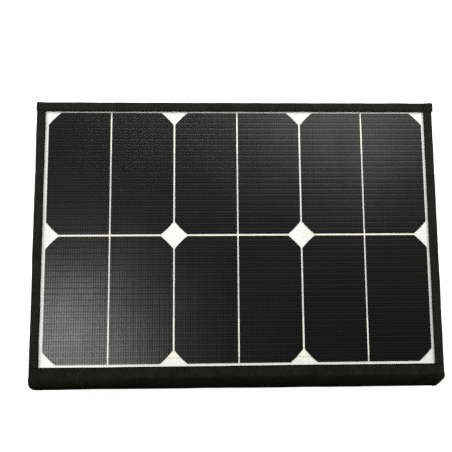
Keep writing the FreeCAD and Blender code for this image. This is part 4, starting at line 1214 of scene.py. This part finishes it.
def lights(sheets):
    """Three soft boxes for everything but the embossed sheets, and three for those sheets alone."""
    face = middle("front_cells")
    near_left = face + Vector((-0.15, -0.09, 0))
    far_right = face + Vector((0.10, 0.10, 0))
    far_middle = face + Vector((-0.08, 0.08, 0))
    keys = [
        lamp("key_left", face, (-1.0, 0.6, 0.66), distance=1.6, size=1.0, power=22),
        lamp("key_far", face, (0.1, 1.0, 0.62), distance=1.6, size=1.0, power=26),
        lamp("fill_right", face, (1.0, 0.5, 0.70), distance=1.7, size=1.0, power=18),
    ]
    glare = [
        lamp("glare_near_left", near_left, (-0.31, -0.17, 0.93), distance=1.1, size=0.36, power=3.1),
        lamp("glare_far_right", far_right, (0.28, 0.47, 0.9), distance=1.1, size=0.6, power=2.6),
        lamp("glare_far_middle", far_middle, (-0.08, 0.50, 0.9), distance=1.1, size=0.5, power=0.55),
    ]
    for group, name, state in ((keys, "all_but_the_sheets", "EXCLUDE"), (glare, "the_sheets", "INCLUDE")):
        lit = linked(name, sheets, state)
        for made in group:
            made.light_linking.receiver_collection = lit


def surroundings():
    """A background that looks white to the camera but gives hardly any light."""
    world = bpy.data.worlds.new("studio")
    world.use_nodes = True
    tree = world.node_tree
    seen = tree.nodes.new("ShaderNodeLightPath").outputs["Is Camera Ray"]
    strength = tree.nodes.new("ShaderNodeMapRange")
    strength.inputs["To Min"].default_value = 0.04
    tree.links.new(seen, strength.inputs["Value"])
    background = tree.nodes["Background"]
    background.inputs["Color"].default_value = (1, 1, 1, 1)
    tree.links.new(strength.outputs[0], background.inputs["Strength"])
    bpy.context.scene.world = world


def camera():
    """The camera above the panel, slightly left of its middle and towards the fold."""
    face = middle("front_cells")
    face.z = high("front_clear_sheet").z
    place = face + Vector((-25.9, -39.2, 484.7)) * MM
    aim = face + Vector((-12.0, 8.9, 0)) * MM
    roll = math.radians(-0.24)
    data = bpy.data.cameras.new("camera")
    data.angle = math.radians(50)
    data.clip_start, data.clip_end = 0.01, 50
    made = add_object("camera", data)
    forward = (aim - place).normalized()
    right = Vector((math.cos(roll), math.sin(roll), 0))
    right = (right - forward * right.dot(forward)).normalized()
    up = right.cross(forward)
    turn = Matrix((right, up, -forward)).transposed()
    made.matrix_world = Matrix.Translation(place) @ turn.to_4x4()
    scene = bpy.context.scene
    scene.camera = made
    scene.view_settings.view_transform = "Standard"
    # The denoiser would wipe out the fine weave of the sheets.
    scene.cycles.use_denoising = False


# ---- the whole panel


def main():
    """Build every piece and the studio, and work out the bounds of the frame and of the finished pieces."""
    side_tapes()
    free_edge_tapes()
    rear_fold_bindings()
    front_fold()
    rear_hinge()
    sheets = [embossed_sheet(leaf) for leaf in LEAVES]
    for leaf in LEAVES:
        leaf_cover(leaf)
    pocket_shell()
    pocket_thread()
    zip_tape_pair()
    zip_coil_pair()
    finish_hard_parts()
    floor()
    lights(sheets)
    surroundings()
    camera()
    bounds = {"cad": cad_bounds, "visual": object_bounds()}
    {key: [list(corner) for corner in box] for key, box in bounds.items()}


main()
